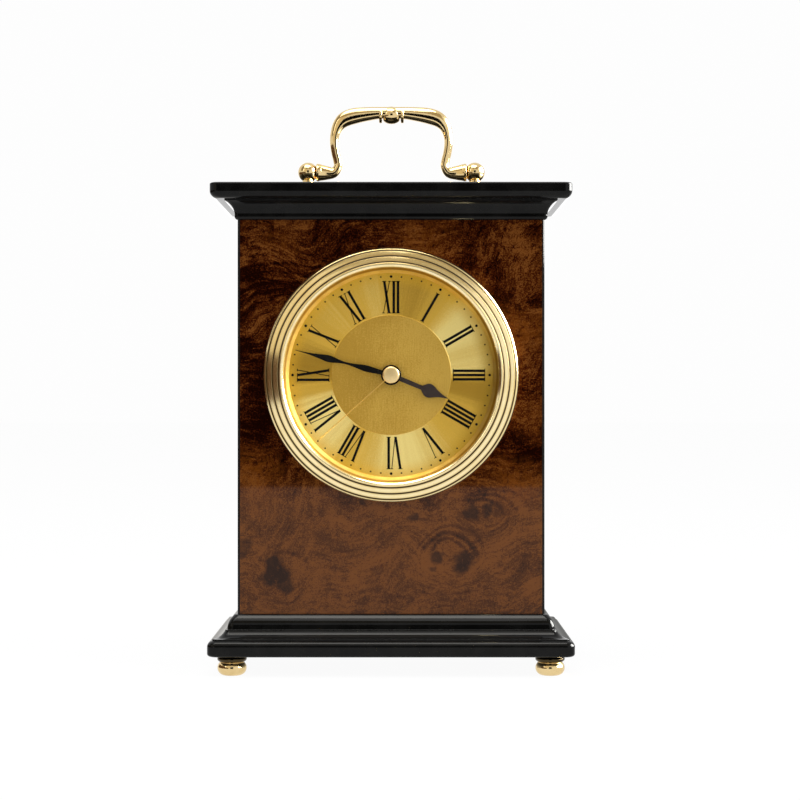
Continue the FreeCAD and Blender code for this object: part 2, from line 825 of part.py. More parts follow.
bead_corners = [
    Vector(-bead_half, 0, bead_z),
    Vector(-bead_half, 0, bead_z + bead_low),
    Vector(0, 0, bead_z + num("bail_bead")),
    Vector(bead_half, 0, bead_z + bead_low),
    Vector(bead_half, 0, bead_z),
]
bead_edges = [
    Part.LineSegment(bead_corners[0], bead_corners[1]).toShape(),
    Part.Arc(*bead_corners[1:4]).toShape(),
    Part.LineSegment(bead_corners[3], bead_corners[4]).toShape(),
    Part.LineSegment(bead_corners[4], bead_corners[0]).toShape(),
]
bead = Part.Face(Part.Wire(bead_edges)).revolve(Vector(0, 0, bead_z), Vector(1, 0, 0), 360)
bail_pieces = [other_half, bead]
for side in (-1, 1):
    collar_start = Vector(side * num("bail_collar_start"), 0, bead_z)
    collar = Part.makeCylinder(num("bail_collar"), num("bail_collar_width"), collar_start, Vector(side, 0, 0))
    bail_pieces.append(collar)
    pin_length = num(pin_end) - foot_x
    pin_start = Vector(side * foot_x, 0, 0)
    bail_pieces.append(Part.makeCylinder(num("bail_pin"), pin_length, pin_start, Vector(side, 0, 0)))
bail = document.addObject("Part::Feature", "handle_bail")
bail.Shape = half_bail.multiFuse(bail_pieces).removeSplitter()
keep("handle_bail", place(bail, z=pivot_z))

# Back board with a doorway, and the door that fills it.
doorway_half = "(doorway_width / 2)"
doorway_z = ("doorway_rise - doorway_height / 2", "doorway_rise + doorway_height / 2")
back_y = (door_back_y, door_face_y)
back_board = box("back_blank", (f"-{inside_x}", inside_x), back_y, body_z)
doorway_y = (f"{door_back_y} - overrun", f"{door_face_y} + overrun")
doorway = box("doorway", (f"-{doorway_half}", doorway_half), doorway_y, doorway_z)
door_z = (f"{doorway_z[0]} + door_gap", f"{doorway_z[1]} - door_gap")
door_half = f"({doorway_half} - door_gap)"
door_blank = box("door_blank", (f"-{door_half}", door_half), back_y, door_z)

# Two butt hinges on the right-hand edge seen from the front, their pins over the gap beside the door.
hinge_x = f"({doorway_half} - door_gap / 2)"
hinge_y = f"({door_face_y} + knuckle + knuckle_clearance)"
leaf_y = (door_face_y, f"{door_face_y} + hinge_leaf")
facing_front = Rotation(Vector(1, 0, 0), 90)
small_screw = screw("small_screw", "hinge_screw")
small_hole = screw("small_hole", "hinge_screw", "running_fit")
frame_leaves, door_leaves, pins = [], [], []
frame_spots, door_spots = [], []
for sign in (-1, 1):
    hinge_z = f"(doorway_rise + {sign} * hinge_spread / 2)"
    low, high = f"({hinge_z} - hinge_length / 2)", f"({hinge_z} + hinge_length / 2)"
    low_third, high_third = f"({hinge_z} - hinge_length / 6)", f"({hinge_z} + hinge_length / 6)"
    middle = (f"{low_third} + knuckle_gap", f"{high_third} - knuckle_gap")
    bore = rod("knuckle_bore", "z", "hinge_pin + running_fit", (f"{low} - overrun", f"{high} + overrun"),
               (hinge_x, hinge_y))
    frame_plate = box("frame_plate", (hinge_x, f"{hinge_x} + hinge_leaf_width"), leaf_y, (low, high))
    frame_notch = box("frame_notch", (f"{hinge_x} - overrun", f"{hinge_x} + knuckle + knuckle_clearance"),
                      (f"{door_face_y} - overrun", f"{hinge_y} + knuckle"), (low_third, high_third))
    frame_low = rod("frame_knuckle_low", "z", "knuckle", (low, low_third), (hinge_x, hinge_y))
    frame_high = rod("frame_knuckle_high", "z", "knuckle", (high_third, high), (hinge_x, hinge_y))
    frame_leaf = cut("frame_leaf_blank", fuse("frame_leaf_body", frame_plate, frame_low, frame_high),
                     bore, frame_notch)
    door_plate = box("door_plate", (f"{hinge_x} - hinge_leaf_width", hinge_x), leaf_y, (low, high))
    notch_x = (f"{hinge_x} - knuckle - knuckle_clearance", f"{hinge_x} + overrun")
    notch_y = (f"{door_face_y} - overrun", f"{hinge_y} + knuckle")
    notch_low = box("door_notch_low", notch_x, notch_y, (f"{low} - overrun", middle[0]))
    notch_high = box("door_notch_high", notch_x, notch_y, (middle[1], f"{high} + overrun"))
    door_middle = rod("door_knuckle", "z", "knuckle", middle, (hinge_x, hinge_y))
    door_leaf_plate = cut("door_leaf_plate", door_plate, notch_low, notch_high)
    door_leaf = cut("door_leaf_blank", fuse("door_leaf_body", door_leaf_plate, door_middle), bore)
    pins.append(rod("hinge_pin_rod", "z", "hinge_pin", (low, high), (hinge_x, hinge_y)))
    frame_leaves.append(frame_leaf)
    door_leaves.append(door_leaf)
    for up in (-1, 1):
        screw_z = f"{hinge_z} + {up} * hinge_screw_spread / 2"
        inset = "hinge_leaf_width - hinge_screw_inset"
        frame_spots.append((f"{hinge_x} + {inset}", leaf_y[1], screw_z))
        door_spots.append((f"{hinge_x} - ({inset})", leaf_y[1], screw_z))
frame_holes = group("frame_holes", *copies("frame_hole", small_hole, frame_spots, facing_front))
door_holes = group("door_holes", *copies("door_hole", small_hole, door_spots, facing_front))
frame_leaf_pair = fuse("frame_leaf_pair", *frame_leaves)
door_leaf_pair = fuse("door_leaf_pair", *door_leaves)
keep("hinge_leaves_frame", cut("hinge_leaves_frame", frame_leaf_pair, frame_holes))
keep("hinge_leaves_door", cut("hinge_leaves_door", door_leaf_pair, door_holes))
keep("hinge_pins", group("hinge_pins", *pins))
frame_screws = copies("frame_screw", small_screw, frame_spots, facing_front)
keep("hinge_screws_frame", group("hinge_screws_frame", *frame_screws))
door_screws = copies("door_screw", small_screw, door_spots, facing_front)
keep("hinge_screws_door", group("hinge_screws_door", *door_screws))
keep("back_panel", cut("back_panel", back_board, doorway, frame_holes))

# A stop behind the free edge of the door, with a magnet in it and a steel strike in the door.
stop_x = (f"-{doorway_half} - stop_grip", f"-{doorway_half} + stop_lap")
stop_z = ("doorway_rise - stop_length / 2", "doorway_rise + stop_length / 2")
stop_blank = box("stop_blank", stop_x, (f"{door_back_y} - stop_depth", door_back_y), stop_z)
catch_spot = (f"-{doorway_half} + catch_inset", "doorway_rise")
catch_radius = "catch_radius + running_fit"
magnet_hole_span = (f"{door_back_y} - magnet_depth", f"{door_back_y} + overrun")
magnet_hole = rod("magnet_hole", "y", catch_radius, magnet_hole_span, catch_spot)
keep("door_stop", cut("door_stop", stop_blank, magnet_hole))
magnet_span = (f"{door_back_y} - magnet_depth", f"{door_back_y} - loose_fit")
keep("door_magnet", rod("door_magnet", "y", "catch_radius", magnet_span, catch_spot))
strike_span = (door_back_y, f"{door_back_y} + strike_depth")
keep("door_strike", rod("door_strike", "y", "catch_radius", strike_span, catch_spot))
strike_hole_span = (f"{door_back_y} - overrun", f"{door_back_y} + strike_depth")
strike_hole = rod("strike_hole", "y", catch_radius, strike_hole_span, catch_spot)
knob_x = f"(-{door_half} + knob_inset)"
knob_hole_span = (f"{door_face_y} - knob_stud_length - loose_fit", f"{door_face_y} + overrun")
knob_hole = rod("knob_hole", "y", "knob_stud + running_fit", knob_hole_span, (knob_x, "doorway_rise"))
keep("back_door", cut("back_door", door_blank, door_holes, strike_hole, knob_hole))
knob_path = [
    ("0", "-knob_stud_length"),
    ("knob_stud", "-knob_stud_length"),
    ("knob_stud", "0"),
    ("knob_radius - knob_neck / 2", "0"),
    ("knob_neck", "knob_neck_reach", "in", "knob_neck_reach"),
    ("knob_radius", "(knob_neck_reach + knob_reach) / 2", "out", "knob_neck_reach"),
    ("knob_face", "knob_reach", "out", "knob_round"),
    ("0", "knob_reach"),
]
keep("door_knob", place(turned("door_knob", "XY_Plane", knob_path), knob_x, door_face_y, "doorway_rise"))

# Clock insert, turned round the dial's axis; depths count from the face of the case.
ring_front = "(dial_setback - ring_height)"
crystal_front = f"({ring_front} - crystal_thickness)"
lip_chord = "sqrt(bezel_lip_width^2 + (bezel_lip_edge - bezel_groove)^2)"
insert_paths = {
    "insert_cup": [
        ("dial_hole", "dial_setback + dial_thickness"),
        ("cup_inner", "dial_setback + dial_thickness"),
        ("cup_inner", "-cup_flange_thickness"),
        ("cup_flange", "-cup_flange_thickness"),
        ("cup_flange", "0"),
        ("cup_outer", "0"),
        ("cup_outer", "cup_length"),
        ("cup_inner", "cup_length"),
        ("cup_inner", "dial_setback + dial_thickness + cup_floor"),
        ("dial_hole", "dial_setback + dial_thickness + cup_floor"),
    ],
    "grip_band": [
        ("cup_outer", "grip_inset"),
        ("grip_outer", "grip_inset"),
        ("grip_outer", "grip_inset + grip_length"),
        ("cup_outer", "grip_inset + grip_length"),
    ],
    "dial": [
        ("dial_hole", "dial_setback"),
        ("dial_radius", "dial_setback"),
        ("dial_radius", "dial_setback + dial_thickness"),
        ("dial_hole", "dial_setback + dial_thickness"),
    ],
    "dial_ring": [
        ("ring_opening", ring_front),
        ("dial_radius", ring_front),
        ("dial_radius", "dial_setback"),
        ("ring_foot", "dial_setback"),
    ],
    "crystal": [
        ("0", crystal_front),
        ("crystal_radius", crystal_front),
        ("crystal_radius", ring_front),
        ("0", ring_front),
    ],
    "bezel": [
        ("bezel_opening", crystal_front),
        ("bezel_opening", "bezel_lip_edge - bezel_lip_rise"),
        ("bezel_lip_outer", "bezel_groove - bezel_lip_rise", "out", bulged(lip_chord, "bezel_lip_bulge")),
        ("bezel_second_inner", "bezel_groove - bezel_second_rise"),
        ("bezel_second_outer", "bezel_groove - bezel_second_rise", "out",
         bulged("bezel_second_width", "bezel_bead_bulge")),
        ("bezel_third_inner", "bezel_groove - bezel_third_rise"),
        ("bezel_third_outer", "bezel_groove - bezel_third_rise", "out",
         bulged("bezel_third_width", "bezel_bead_bulge")),
        ("bezel_fourth_inner", "bezel_groove - bezel_fourth_rise"),
        ("bezel_radius", "bezel_edge_round - bezel_fourth_rise", "out", "bezel_edge_round"),
        ("bezel_radius", "0"),
        ("bezel_skirt", "0"),
        ("bezel_skirt", "-cup_flange_thickness"),
        ("dial_radius", "-cup_flange_thickness"),
        ("dial_radius", crystal_front),
    ],
}
insert_blanks = {
    name: place(turned(f"{name}_turned", "XY_Plane", path), y=front_y, z="dial_rise")
    for name, path in insert_paths.items()
}
for name in ("grip_band", "dial", "dial_ring", "crystal", "bezel"):
    keep(name, insert_blanks[name])

# Four screws under the dial hold the movement's pillars to the cup.
pillar_spots = [
    (f"{across} * pillar_spread / 2", f"dial_rise {rise}")
    for across in (-1, 1)
    for rise in ("- pillar_low", "+ pillar_high")
]
facing_rear = Rotation(Vector(1, 0, 0), -90)
front_screw_spots = [(across, cup_y, up) for across, up in pillar_spots]
rear_screw_spots = [(across, movement_rear_y, up) for across, up in pillar_spots]
movement_screw = screw("movement_screw", "movement_screw")
movement_hole = screw("movement_hole", "movement_screw", "running_fit")
front_holes = group("front_holes", *copies("front_screw_hole", movement_hole, front_screw_spots, facing_rear))
rear_holes = group("rear_holes", *copies("rear_screw_hole", movement_hole, rear_screw_spots, facing_front))
front_screws = copies("front_screw", movement_screw, front_screw_spots, facing_rear)
rear_screws = copies("rear_screw", movement_screw, rear_screw_spots, facing_front)
recess_half = f"({movement_half} + movement_clearance)"
recess_x = (f"-{recess_half}", recess_half)
recess_z = (f"dial_rise - {recess_half}", f"dial_rise + {recess_half}")
movement_recess = box("movement_recess", recess_x, (movement_y, f"{movement_rear_y} + overrun"), recess_z)
keep("insert_cup", cut("insert_cup", insert_blanks["insert_cup"], front_holes, movement_recess))
keep("movement_screws", group("movement_screws", *front_screws))
keep("cover_screws", group("cover_screws", *rear_screws))

# Axes of the wheels, as x and z.
centre_spot = ("0", "dial_rise")
setting_spot = ("(-motion_module * (cannon_teeth + minute_teeth) / 2)", "dial_rise")
third_reach = "(centre_module * (centre_teeth + third_pinion_teeth) / 2)"
third_spot = (f"({third_reach} * cos(third_turn))", f"(dial_rise + {third_reach} * sin(third_turn))")
step_reach = "(seconds_module * (seconds_teeth + intermediate_pinion_teeth) / 2)"
step_spot = (
    f"({step_reach} * cos(intermediate_turn))",
    f"(dial_rise + {step_reach} * sin(intermediate_turn))",
)
rotor_reach = "(intermediate_module * (intermediate_teeth + rotor_pinion_teeth) / 2)"
rotor_spot = (
    f"({step_spot[0]} + {rotor_reach} * cos(rotor_turn))",
    f"({step_spot[1]} + {rotor_reach} * sin(rotor_turn))",
)
hour_module = "motion_module * (cannon_teeth + minute_teeth) / (hour_teeth + minute_pinion_teeth)"
third_module = "centre_module * (centre_teeth + third_pinion_teeth) / (third_teeth + seconds_pinion_teeth)"

# Movement housing: one tray for the train and one, open to the rear, for the battery.
bridge_y = (layer(6), f"{layer(6)} + bridge_thickness")
movement_x = (f"-{movement_half}", movement_half)
movement_z = (f"dial_rise - {movement_half}", f"dial_rise + {movement_half}")
cavity_x = (f"-{cavity_half}", cavity_half)
cavity_y = (f"{movement_y} + movement_wall", f"{movement_rear_y} + overrun")
housing = box("housing", movement_x, (movement_y, movement_rear_y), movement_z)
train_tray = box("train_tray", cavity_x, cavity_y, (train_low, train_high))
battery_tray = box("battery_tray", cavity_x, cavity_y, (bay_low, "dial_rise - bay_top"))
shell = cut("housing_shell", housing, train_tray, battery_tray)
wall_rear = f"{movement_y} + movement_wall"
bush = rod("bush", "y", "bush_radius", (f"{dial_y} - bush_reach", wall_rear), centre_spot)
pillars = [rod("pillar", "y", "pillar_radius", (movement_y, bridge_y[0]), spot) for spot in pillar_spots]
necks = [rod("pillar_neck_rod", "y", "pillar_neck", (movement_y, cover_y), spot) for spot in pillar_spots]
bush_span = (f"{dial_y} - bush_reach - overrun", f"{wall_rear} + overrun")
bush_hole = rod("bush_hole", "y", "bush_bore", bush_span, centre_spot)
pivot_span = (f"{movement_y} - overrun", f"{movement_y} + movement_wall + overrun")
fine_hole = "arbor_radius + running_fit"
pivot_spots = (third_spot, step_spot, rotor_spot)
pivot_holes = [rod("pivot_hole", "y", fine_hole, pivot_span, spot) for spot in pivot_spots]
setting_hole = rod("setting_front", "y", "setting_arbor + running_fit", pivot_span, setting_spot)
case_body = fuse("case_body", shell, bush, *pillars, *necks)
case_cuts = (bush_hole, setting_hole, *pivot_holes, front_holes, rear_holes)
keep("movement_case", cut("movement_case", case_body, *case_cuts))

bridge_x = (f"-{cavity_half} + loose_fit", f"{cavity_half} - loose_fit")
bridge_blank = box("bridge_blank", bridge_x, bridge_y, (f"{train_low} + loose_fit", "dial_rise + bridge_top"))
bridge_span = (f"{bridge_y[0]} - overrun", f"{bridge_y[1]} + overrun")
bridge_cuts = [rod("bridge_neck", "y", "pillar_neck + loose_fit", bridge_span, spot) for spot in pillar_spots]
for spot in (centre_spot, third_spot, step_spot):
    bridge_cuts.append(rod("bridge_pivot", "y", fine_hole, bridge_span, spot))
bridge_cuts.append(rod("bridge_rotor", "y", "rotor_pass", bridge_span, rotor_spot))
bridge_cuts.append(rod("bridge_setting", "y", "setting_arbor + loose_fit", bridge_span, setting_spot))
keep("train_bridge", cut("train_bridge", bridge_blank, *bridge_cuts))

cover_z = (f"{train_low} + loose_fit", f"{train_high} - loose_fit")
cover_blank = box("cover_blank", bridge_x, (cover_y, movement_rear_y), cover_z)
cover_span = (f"{cover_y} - overrun", f"{movement_rear_y} + overrun")
cover_setting = rod("cover_setting", "y", "setting_arbor + running_fit", cover_span, setting_spot)
cover_rotor = rod("cover_rotor", "y", fine_hole, cover_span, rotor_spot)
keep("movement_cover", cut("movement_cover", cover_blank, rear_holes, cover_setting, cover_rotor))

# Motion work, in the two front layers: cannon and minute wheel, minute pinion and hour wheel.
cannon_gear = toothed("cannon_gear", "cannon_teeth", "motion_module", layer(1), centre_spot, 0)
minute_hand_y = f"({dial_y} - minute_lift)"
cannon_span = (f"{minute_hand_y} - hub_thickness", layer_end(2))
cannon_tube = rod("cannon_tube", "y", "minute_tube", cannon_span, centre_spot)
cannon_bore_span = (f"{cannon_span[0]} - overrun", f"{cannon_span[1]} + overrun")
cannon_bore = rod("cannon_bore", "y", "minute_tube_bore", cannon_bore_span, centre_spot)
keep("cannon_pinion", cut("cannon_pinion", fuse("cannon_body", cannon_gear, cannon_tube), cannon_bore))

minute_phase = meshed(centre_spot, 0, "cannon_teeth", setting_spot, "minute_teeth")
minute_gear = toothed("minute_gear", "minute_teeth", "motion_module", layer(1), setting_spot, minute_phase)
pinion_phase = meshed(centre_spot, 0, "hour_teeth", setting_spot, "minute_pinion_teeth")
minute_pinion = toothed(
    "minute_pinion", "minute_pinion_teeth", hour_module, layer(0), setting_spot, pinion_phase
)
pinion_sleeve = rod("pinion_sleeve", "y", "setting_sleeve", (layer(0), layer_end(1)), setting_spot)
knob_low = f"({movement_rear_y} + setting_knob_gap)"
knob_high = f"({knob_low} + setting_knob_height)"
setting_rod = rod("setting_rod", "y", "setting_arbor", (movement_y, knob_high), setting_spot)
keep("minute_wheel", fuse("minute_wheel", minute_gear, minute_pinion, pinion_sleeve, setting_rod))
setting_path = [
    ("setting_arbor + close_fit", "0"),
    ("setting_knob", "0"),
    ("setting_knob", "setting_knob_height - setting_knob_round"),
    ("setting_knob - setting_knob_round", "setting_knob_height", "out", "setting_knob_round"),
    ("setting_arbor + close_fit", "setting_knob_height"),
]
knob_turned = turned("setting_knob", "XY_Plane", setting_path)
keep("setting_knob", place(knob_turned, setting_spot[0], knob_low, setting_spot[1]))

hour_gear = toothed("hour_gear", "hour_teeth", hour_module, layer(0), centre_spot, 0)
hour_hand_y = f"({dial_y} - hour_lift)"
hour_span = (f"{hour_hand_y} - hub_thickness", layer_end(0))
hour_sleeve = rod("hour_sleeve", "y", "hour_tube", hour_span, centre_spot)
hour_bore_span = (f"{hour_span[0]} - overrun", f"{hour_span[1]} + overrun")
hour_bore = rod("hour_bore", "y", "hour_tube_bore", hour_bore_span, centre_spot)
keep("hour_wheel", cut("hour_wheel", fuse("hour_body", hour_gear, hour_sleeve), hour_bore))

# Going train behind it: centre wheel, third wheel, seconds wheel, intermediate wheel and rotor.
centre_gear = toothed("centre_gear", "centre_teeth", "centre_module", layer(2), centre_spot, 0)
centre_span = (f"{layer(2)} - overrun", f"{layer_end(2)} + overrun")
centre_bore = rod("centre_bore", "y", "minute_tube + running_fit", centre_span, centre_spot)
keep("centre_wheel", cut("centre_wheel", centre_gear, centre_bore))

pivot_rod_span = (movement_y, bridge_y[1])
third_pinion_phase = meshed(centre_spot, 0, "centre_teeth", third_spot, "third_pinion_teeth")
third_pinion = toothed(
    "third_pinion", "third_pinion_teeth", "centre_module", layer(2), third_spot, third_pinion_phase
)
third_phase = meshed(centre_spot, 0, "seconds_pinion_teeth", third_spot, "third_teeth")
third_gear = toothed("third_gear", "third_teeth", third_module, layer(3), third_spot, third_phase)
third_rod = rod("third_rod", "y", "arbor_radius", pivot_rod_span, third_spot)
keep("third_wheel", fuse("third_wheel", third_pinion, third_gear, third_rod))

seconds_pinion = toothed("seconds_pinion", "seconds_pinion_teeth", third_module, layer(3), centre_spot, 0)
seconds_gear = toothed("seconds_gear", "seconds_teeth", "seconds_module", layer(4), centre_spot, 0)
second_hand_y = f"({dial_y} - second_lift)"
seconds_span = (f"{second_hand_y} - hand_thickness", bridge_y[1])
seconds_rod = rod("seconds_rod", "y", "arbor_radius", seconds_span, centre_spot)
keep("seconds_wheel", fuse("seconds_wheel", seconds_pinion, seconds_gear, seconds_rod))

step_pinion_phase = meshed(centre_spot, 0, "seconds_teeth", step_spot, "intermediate_pinion_teeth")
step_pinion = toothed(
    "step_pinion", "intermediate_pinion_teeth", "seconds_module", layer(4), step_spot, step_pinion_phase
)
step_gear = toothed("step_gear", "intermediate_teeth", "intermediate_module", layer(5), step_spot, 0)
step_rod = rod("step_rod", "y", "arbor_radius", pivot_rod_span, step_spot)
keep("intermediate_wheel", fuse("intermediate_wheel", step_pinion, step_gear, step_rod))

rotor_phase = meshed(step_spot, 0, "intermediate_teeth", rotor_spot, "rotor_pinion_teeth")
rotor_gear = toothed(
    "rotor_gear", "rotor_pinion_teeth", "intermediate_module", layer(5), rotor_spot, rotor_phase
)
magnet_y = f"({bridge_y[1]} + rotor_magnet_gap)"
rotor_disc_span = (magnet_y, f"{magnet_y} + rotor_magnet_height")
rotor_disc = rod("rotor_disc", "y", "rotor_magnet", rotor_disc_span, rotor_spot)
rotor_rod = rod("rotor_rod", "y", "arbor_radius", (movement_y, movement_rear_y), rotor_spot)
keep("rotor", fuse("rotor", rotor_gear, rotor_disc, rotor_rod))

# Stator plate round the rotor, with the core of the coil as its upper bar.
stator_y = (bridge_y[1], f"{bridge_y[1]} + bridge_thickness")
stator_plate = box(
    "stator_plate",
    ("-stator_left", "stator_right"),
    stator_y,
    ("dial_rise + stator_low", "dial_rise + core_high"),
)
stator_cut_y = (f"{stator_y[0]} - overrun", f"{stator_y[1]} + overrun")
stator_window = box(
    "stator_window",
    ("-stator_left + stator_arm", "stator_right - stator_arm"),
    stator_cut_y,
    ("dial_rise + stator_high", "dial_rise + core_low"),
)
stator_hole = rod("stator_hole_rod", "y", "stator_hole", stator_cut_y, rotor_spot)
keep("stator_core", cut("stator_core", stator_plate, stator_window, stator_hole))

coil_spot = (f"({stator_y[0]} + bridge_thickness / 2)", "(dial_rise + (core_low + core_high) / 2)")
tube_span = ("-bobbin_half", "bobbin_half")
bobbin_tube = rod("bobbin_tube_rod", "x", "bobbin_tube", tube_span, coil_spot)
left_flange_span = ("-bobbin_half", "-bobbin_half + bobbin_flange")
left_flange = rod("left_flange", "x", "bobbin_radius", left_flange_span, coil_spot)
right_flange_span = ("bobbin_half - bobbin_flange", "bobbin_half")
right_flange = rod("right_flange", "x", "bobbin_radius", right_flange_span, coil_spot)
core_slot = box(
    "core_slot",
    ("-bobbin_half - overrun", "bobbin_half + overrun"),
    (f"{stator_y[0]} - loose_fit", f"{stator_y[1]} + loose_fit"),
    ("dial_rise + core_low - loose_fit", "dial_rise + core_high + loose_fit"),
)
bobbin_body = fuse("bobbin_body", bobbin_tube, left_flange, right_flange)
keep("coil_bobbin", cut("coil_bobbin", bobbin_body, core_slot))
winding_span = ("-bobbin_half + bobbin_flange", "bobbin_half - bobbin_flange")
winding_bulk = rod("winding_bulk", "x", "coil_radius", winding_span, coil_spot)
keep("coil_winding", cut("coil_winding", winding_bulk, bobbin_tube))

# Circuit board on the cover, with its chip and the can of the quartz.
board_y = (f"{cover_y} - board_thickness", cover_y)
board_z = ("dial_rise - board_low", "dial_rise + board_high")
board_plate = box("board_plate", ("board_left", "board_right"), board_y, board_z)
chip = box(
    "chip",
    ("board_right - chip_inset - chip_side", "board_right - chip_inset"),
    (f"{board_y[0]} - chip_height", board_y[0]),
    ("dial_rise - chip_side / 2", "dial_rise + chip_side / 2"),
)
keep("circuit_board", fuse("circuit_board", board_plate, chip))
quartz_spot = ("board_left + quartz_inset", f"{board_y[0]} - quartz_radius")
quartz_span = ("dial_rise - quartz_length / 2", "dial_rise + quartz_length / 2")
keep("quartz_crystal", rod("quartz_crystal", "z", "quartz_radius", quartz_span, quartz_spot))

# Battery cell, and a contact at each end of it.
cell_y = f"({movement_y} + movement_wall + cell_radius + loose_fit)"
cell_z = f"({bay_low} + cell_radius + loose_fit)"
cell_can = rod("cell_can", "x", "cell_radius", ("-cell_half", "cell_half"), (cell_y, cell_z))
button_span = ("cell_half", "cell_half + cell_button_height")
cell_button = rod("cell_button_rod", "x", "cell_button", button_span, (cell_y, cell_z))
keep("battery_cell", fuse("battery_cell", cell_can, cell_button))
contact_y = (f"{cell_y} - contact_half", f"{cell_y} + contact_half")
contact_z = (f"{cell_z} - contact_half", f"{cell_z} + contact_half")
minus_x = (f"-{cavity_half}", f"-{cavity_half} + contact_thickness")
minus_plate = box("minus_plate", minus_x, contact_y, contact_z)
minus_tab = rod("minus_tab", "x", "contact_tab", (minus_x[0], "-cell_half"), (cell_y, cell_z))
plus_x = (f"{cavity_half} - contact_thickness", cavity_half)
plus_plate = box("plus_plate", plus_x, contact_y, contact_z)
plus_tab = rod("plus_tab", "x", "contact_tab", (button_span[1], plus_x[1]), (cell_y, cell_z))
minus_contact = fuse("minus_contact", minus_plate, minus_tab)
plus_contact = fuse("plus_contact", plus_plate, plus_tab)
keep("battery_contacts", group("battery_contacts", minus_contact, plus_contact))

# Hands: each outline points up from the dial's axis, and the piece is then turned to its hour.
hour_outline = [
    ("hour_stem / 2", "0"),
    ("hour_neck / 2", "hour_neck_run"),
    ("hour_spade / 2", "hour_spade_run", "out", "hour_lobe_round"),
    ("hour_point / 2", "hour_point_run", "out", "hour_cheek_round"),
    ("hand_tip / 2", "hour_length", "in", "hour_tip_round"),
]
minute_outline = [
    ("minute_foot / 2", "0"),
    ("minute_leaf / 2", "minute_leaf_run", "out", "minute_round"),
    ("minute_neck / 2", "minute_neck_run", "out", "minute_round"),
    ("minute_blade / 2", "minute_blade_run", "out", "minute_round"),
    ("hand_tip / 2", "minute_length"),
]
second_outline = [
    ("second_foot / 2", "0"),
    ("hand_tip / 2", "second_length"),
]


def hand(name, outline, hub, depth, angle):
    blade = plate(f"{name}_blade", "XZ_Plane", mirrored(outline), "hand_thickness")
    place(blade, "0", depth, "dial_rise")
    blade.Placement = Placement(Vector(), Rotation(Vector(0, 1, 0), num(angle)))
    blade.setExpression("Placement.Rotation.Angle", cell(angle))
    return fuse(f"{name}_body", blade, hub)


def bored(name, body, radius, depth):
    span = (f"{depth} - hub_thickness - overrun", f"{depth} + overrun")
    return cut(name, body, rod(f"{name}_bore", "y", radius, span, centre_spot))


hour_hub_span = (f"{hour_hand_y} - hub_thickness", hour_hand_y)
hour_hub_rod = rod("hour_hub_rod", "y", "hour_hub", hour_hub_span, centre_spot)
hour_body = hand("hour", hour_outline, hour_hub_rod, hour_hand_y, "hour_angle")
keep("hour_hand", bored("hour_hand", hour_body, "hour_tube + close_fit", hour_hand_y))
minute_hub_span = (f"{minute_hand_y} - hub_thickness", minute_hand_y)
minute_hub_rod = rod("minute_hub_rod", "y", "minute_hub", minute_hub_span, centre_spot)
minute_body = hand("minute", minute_outline, minute_hub_rod, minute_hand_y, "minute_angle")
keep("minute_hand", bored("minute_hand", minute_body, "minute_tube + close_fit", minute_hand_y))
cap_path = [
    ("0", "-second_cap_thickness"),
    ("second_cap - second_cap_round", "-second_cap_thickness"),
    ("second_cap", "second_cap_round - second_cap_thickness", "out", "second_cap_round"),
    ("second_cap", "0"),
    ("0", "0"),
]
second_cap = place(turned("second_cap_turned", "XY_Plane", cap_path), "0", second_hand_y, "dial_rise")
second_body = hand("second", second_outline, second_cap, second_hand_y, "second_angle")
keep("second_hand", cut("second_hand", second_body, seconds_rod))

document.recompute()
for item in document.Objects:
    if "Invalid" in item.State or "Error" in item.State:
        raise RuntimeError(f"{item.Label} did not build")
for name, shape in nodes.items():
    if shape.Shape.isNull() or not shape.Shape.isValid() or not shape.Shape.Solids:
        raise RuntimeError(f"{name} has no sound solid")

os.makedirs("parts", exist_ok=True)
for name, shape in nodes.items():
    shape.Shape.exportStep(f"parts/{name}.step")
print(f"{len(nodes)} pieces")
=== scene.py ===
import cmath
import json
import math

import bmesh
import bpy
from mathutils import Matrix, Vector


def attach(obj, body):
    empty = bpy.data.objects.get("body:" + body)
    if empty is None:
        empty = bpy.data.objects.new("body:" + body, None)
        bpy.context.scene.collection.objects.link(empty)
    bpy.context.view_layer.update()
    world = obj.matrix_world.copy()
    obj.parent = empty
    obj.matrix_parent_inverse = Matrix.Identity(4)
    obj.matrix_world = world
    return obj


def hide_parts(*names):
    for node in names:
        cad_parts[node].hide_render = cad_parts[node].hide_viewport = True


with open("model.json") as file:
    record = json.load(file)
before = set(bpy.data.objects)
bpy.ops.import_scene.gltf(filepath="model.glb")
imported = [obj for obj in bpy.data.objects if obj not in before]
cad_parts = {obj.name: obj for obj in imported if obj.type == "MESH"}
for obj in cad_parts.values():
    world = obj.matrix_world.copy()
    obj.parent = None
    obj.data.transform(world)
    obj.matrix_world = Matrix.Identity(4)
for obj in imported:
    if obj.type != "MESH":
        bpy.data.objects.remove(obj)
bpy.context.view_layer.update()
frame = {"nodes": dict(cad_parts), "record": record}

# Desk clock: burl front, black lacquered mouldings, brass handle and feet, gilt dial.
# Sizes in the dictionaries are millimetres; the meshes are metres. The dial faces -Y.

nodes = frame["nodes"]
bodies = frame["record"]["behaviour"]["bodies"]
nodeBody = {node: body for body, group in bodies.items() for node in group}
scene = bpy.context.scene
scene.view_settings.view_transform = "Standard"
mm = 0.001
dialAxis = (0, -33, 120.7)  # where the dial's axis meets the face of the case
print("frame loaded:", len(nodes), "nodes")


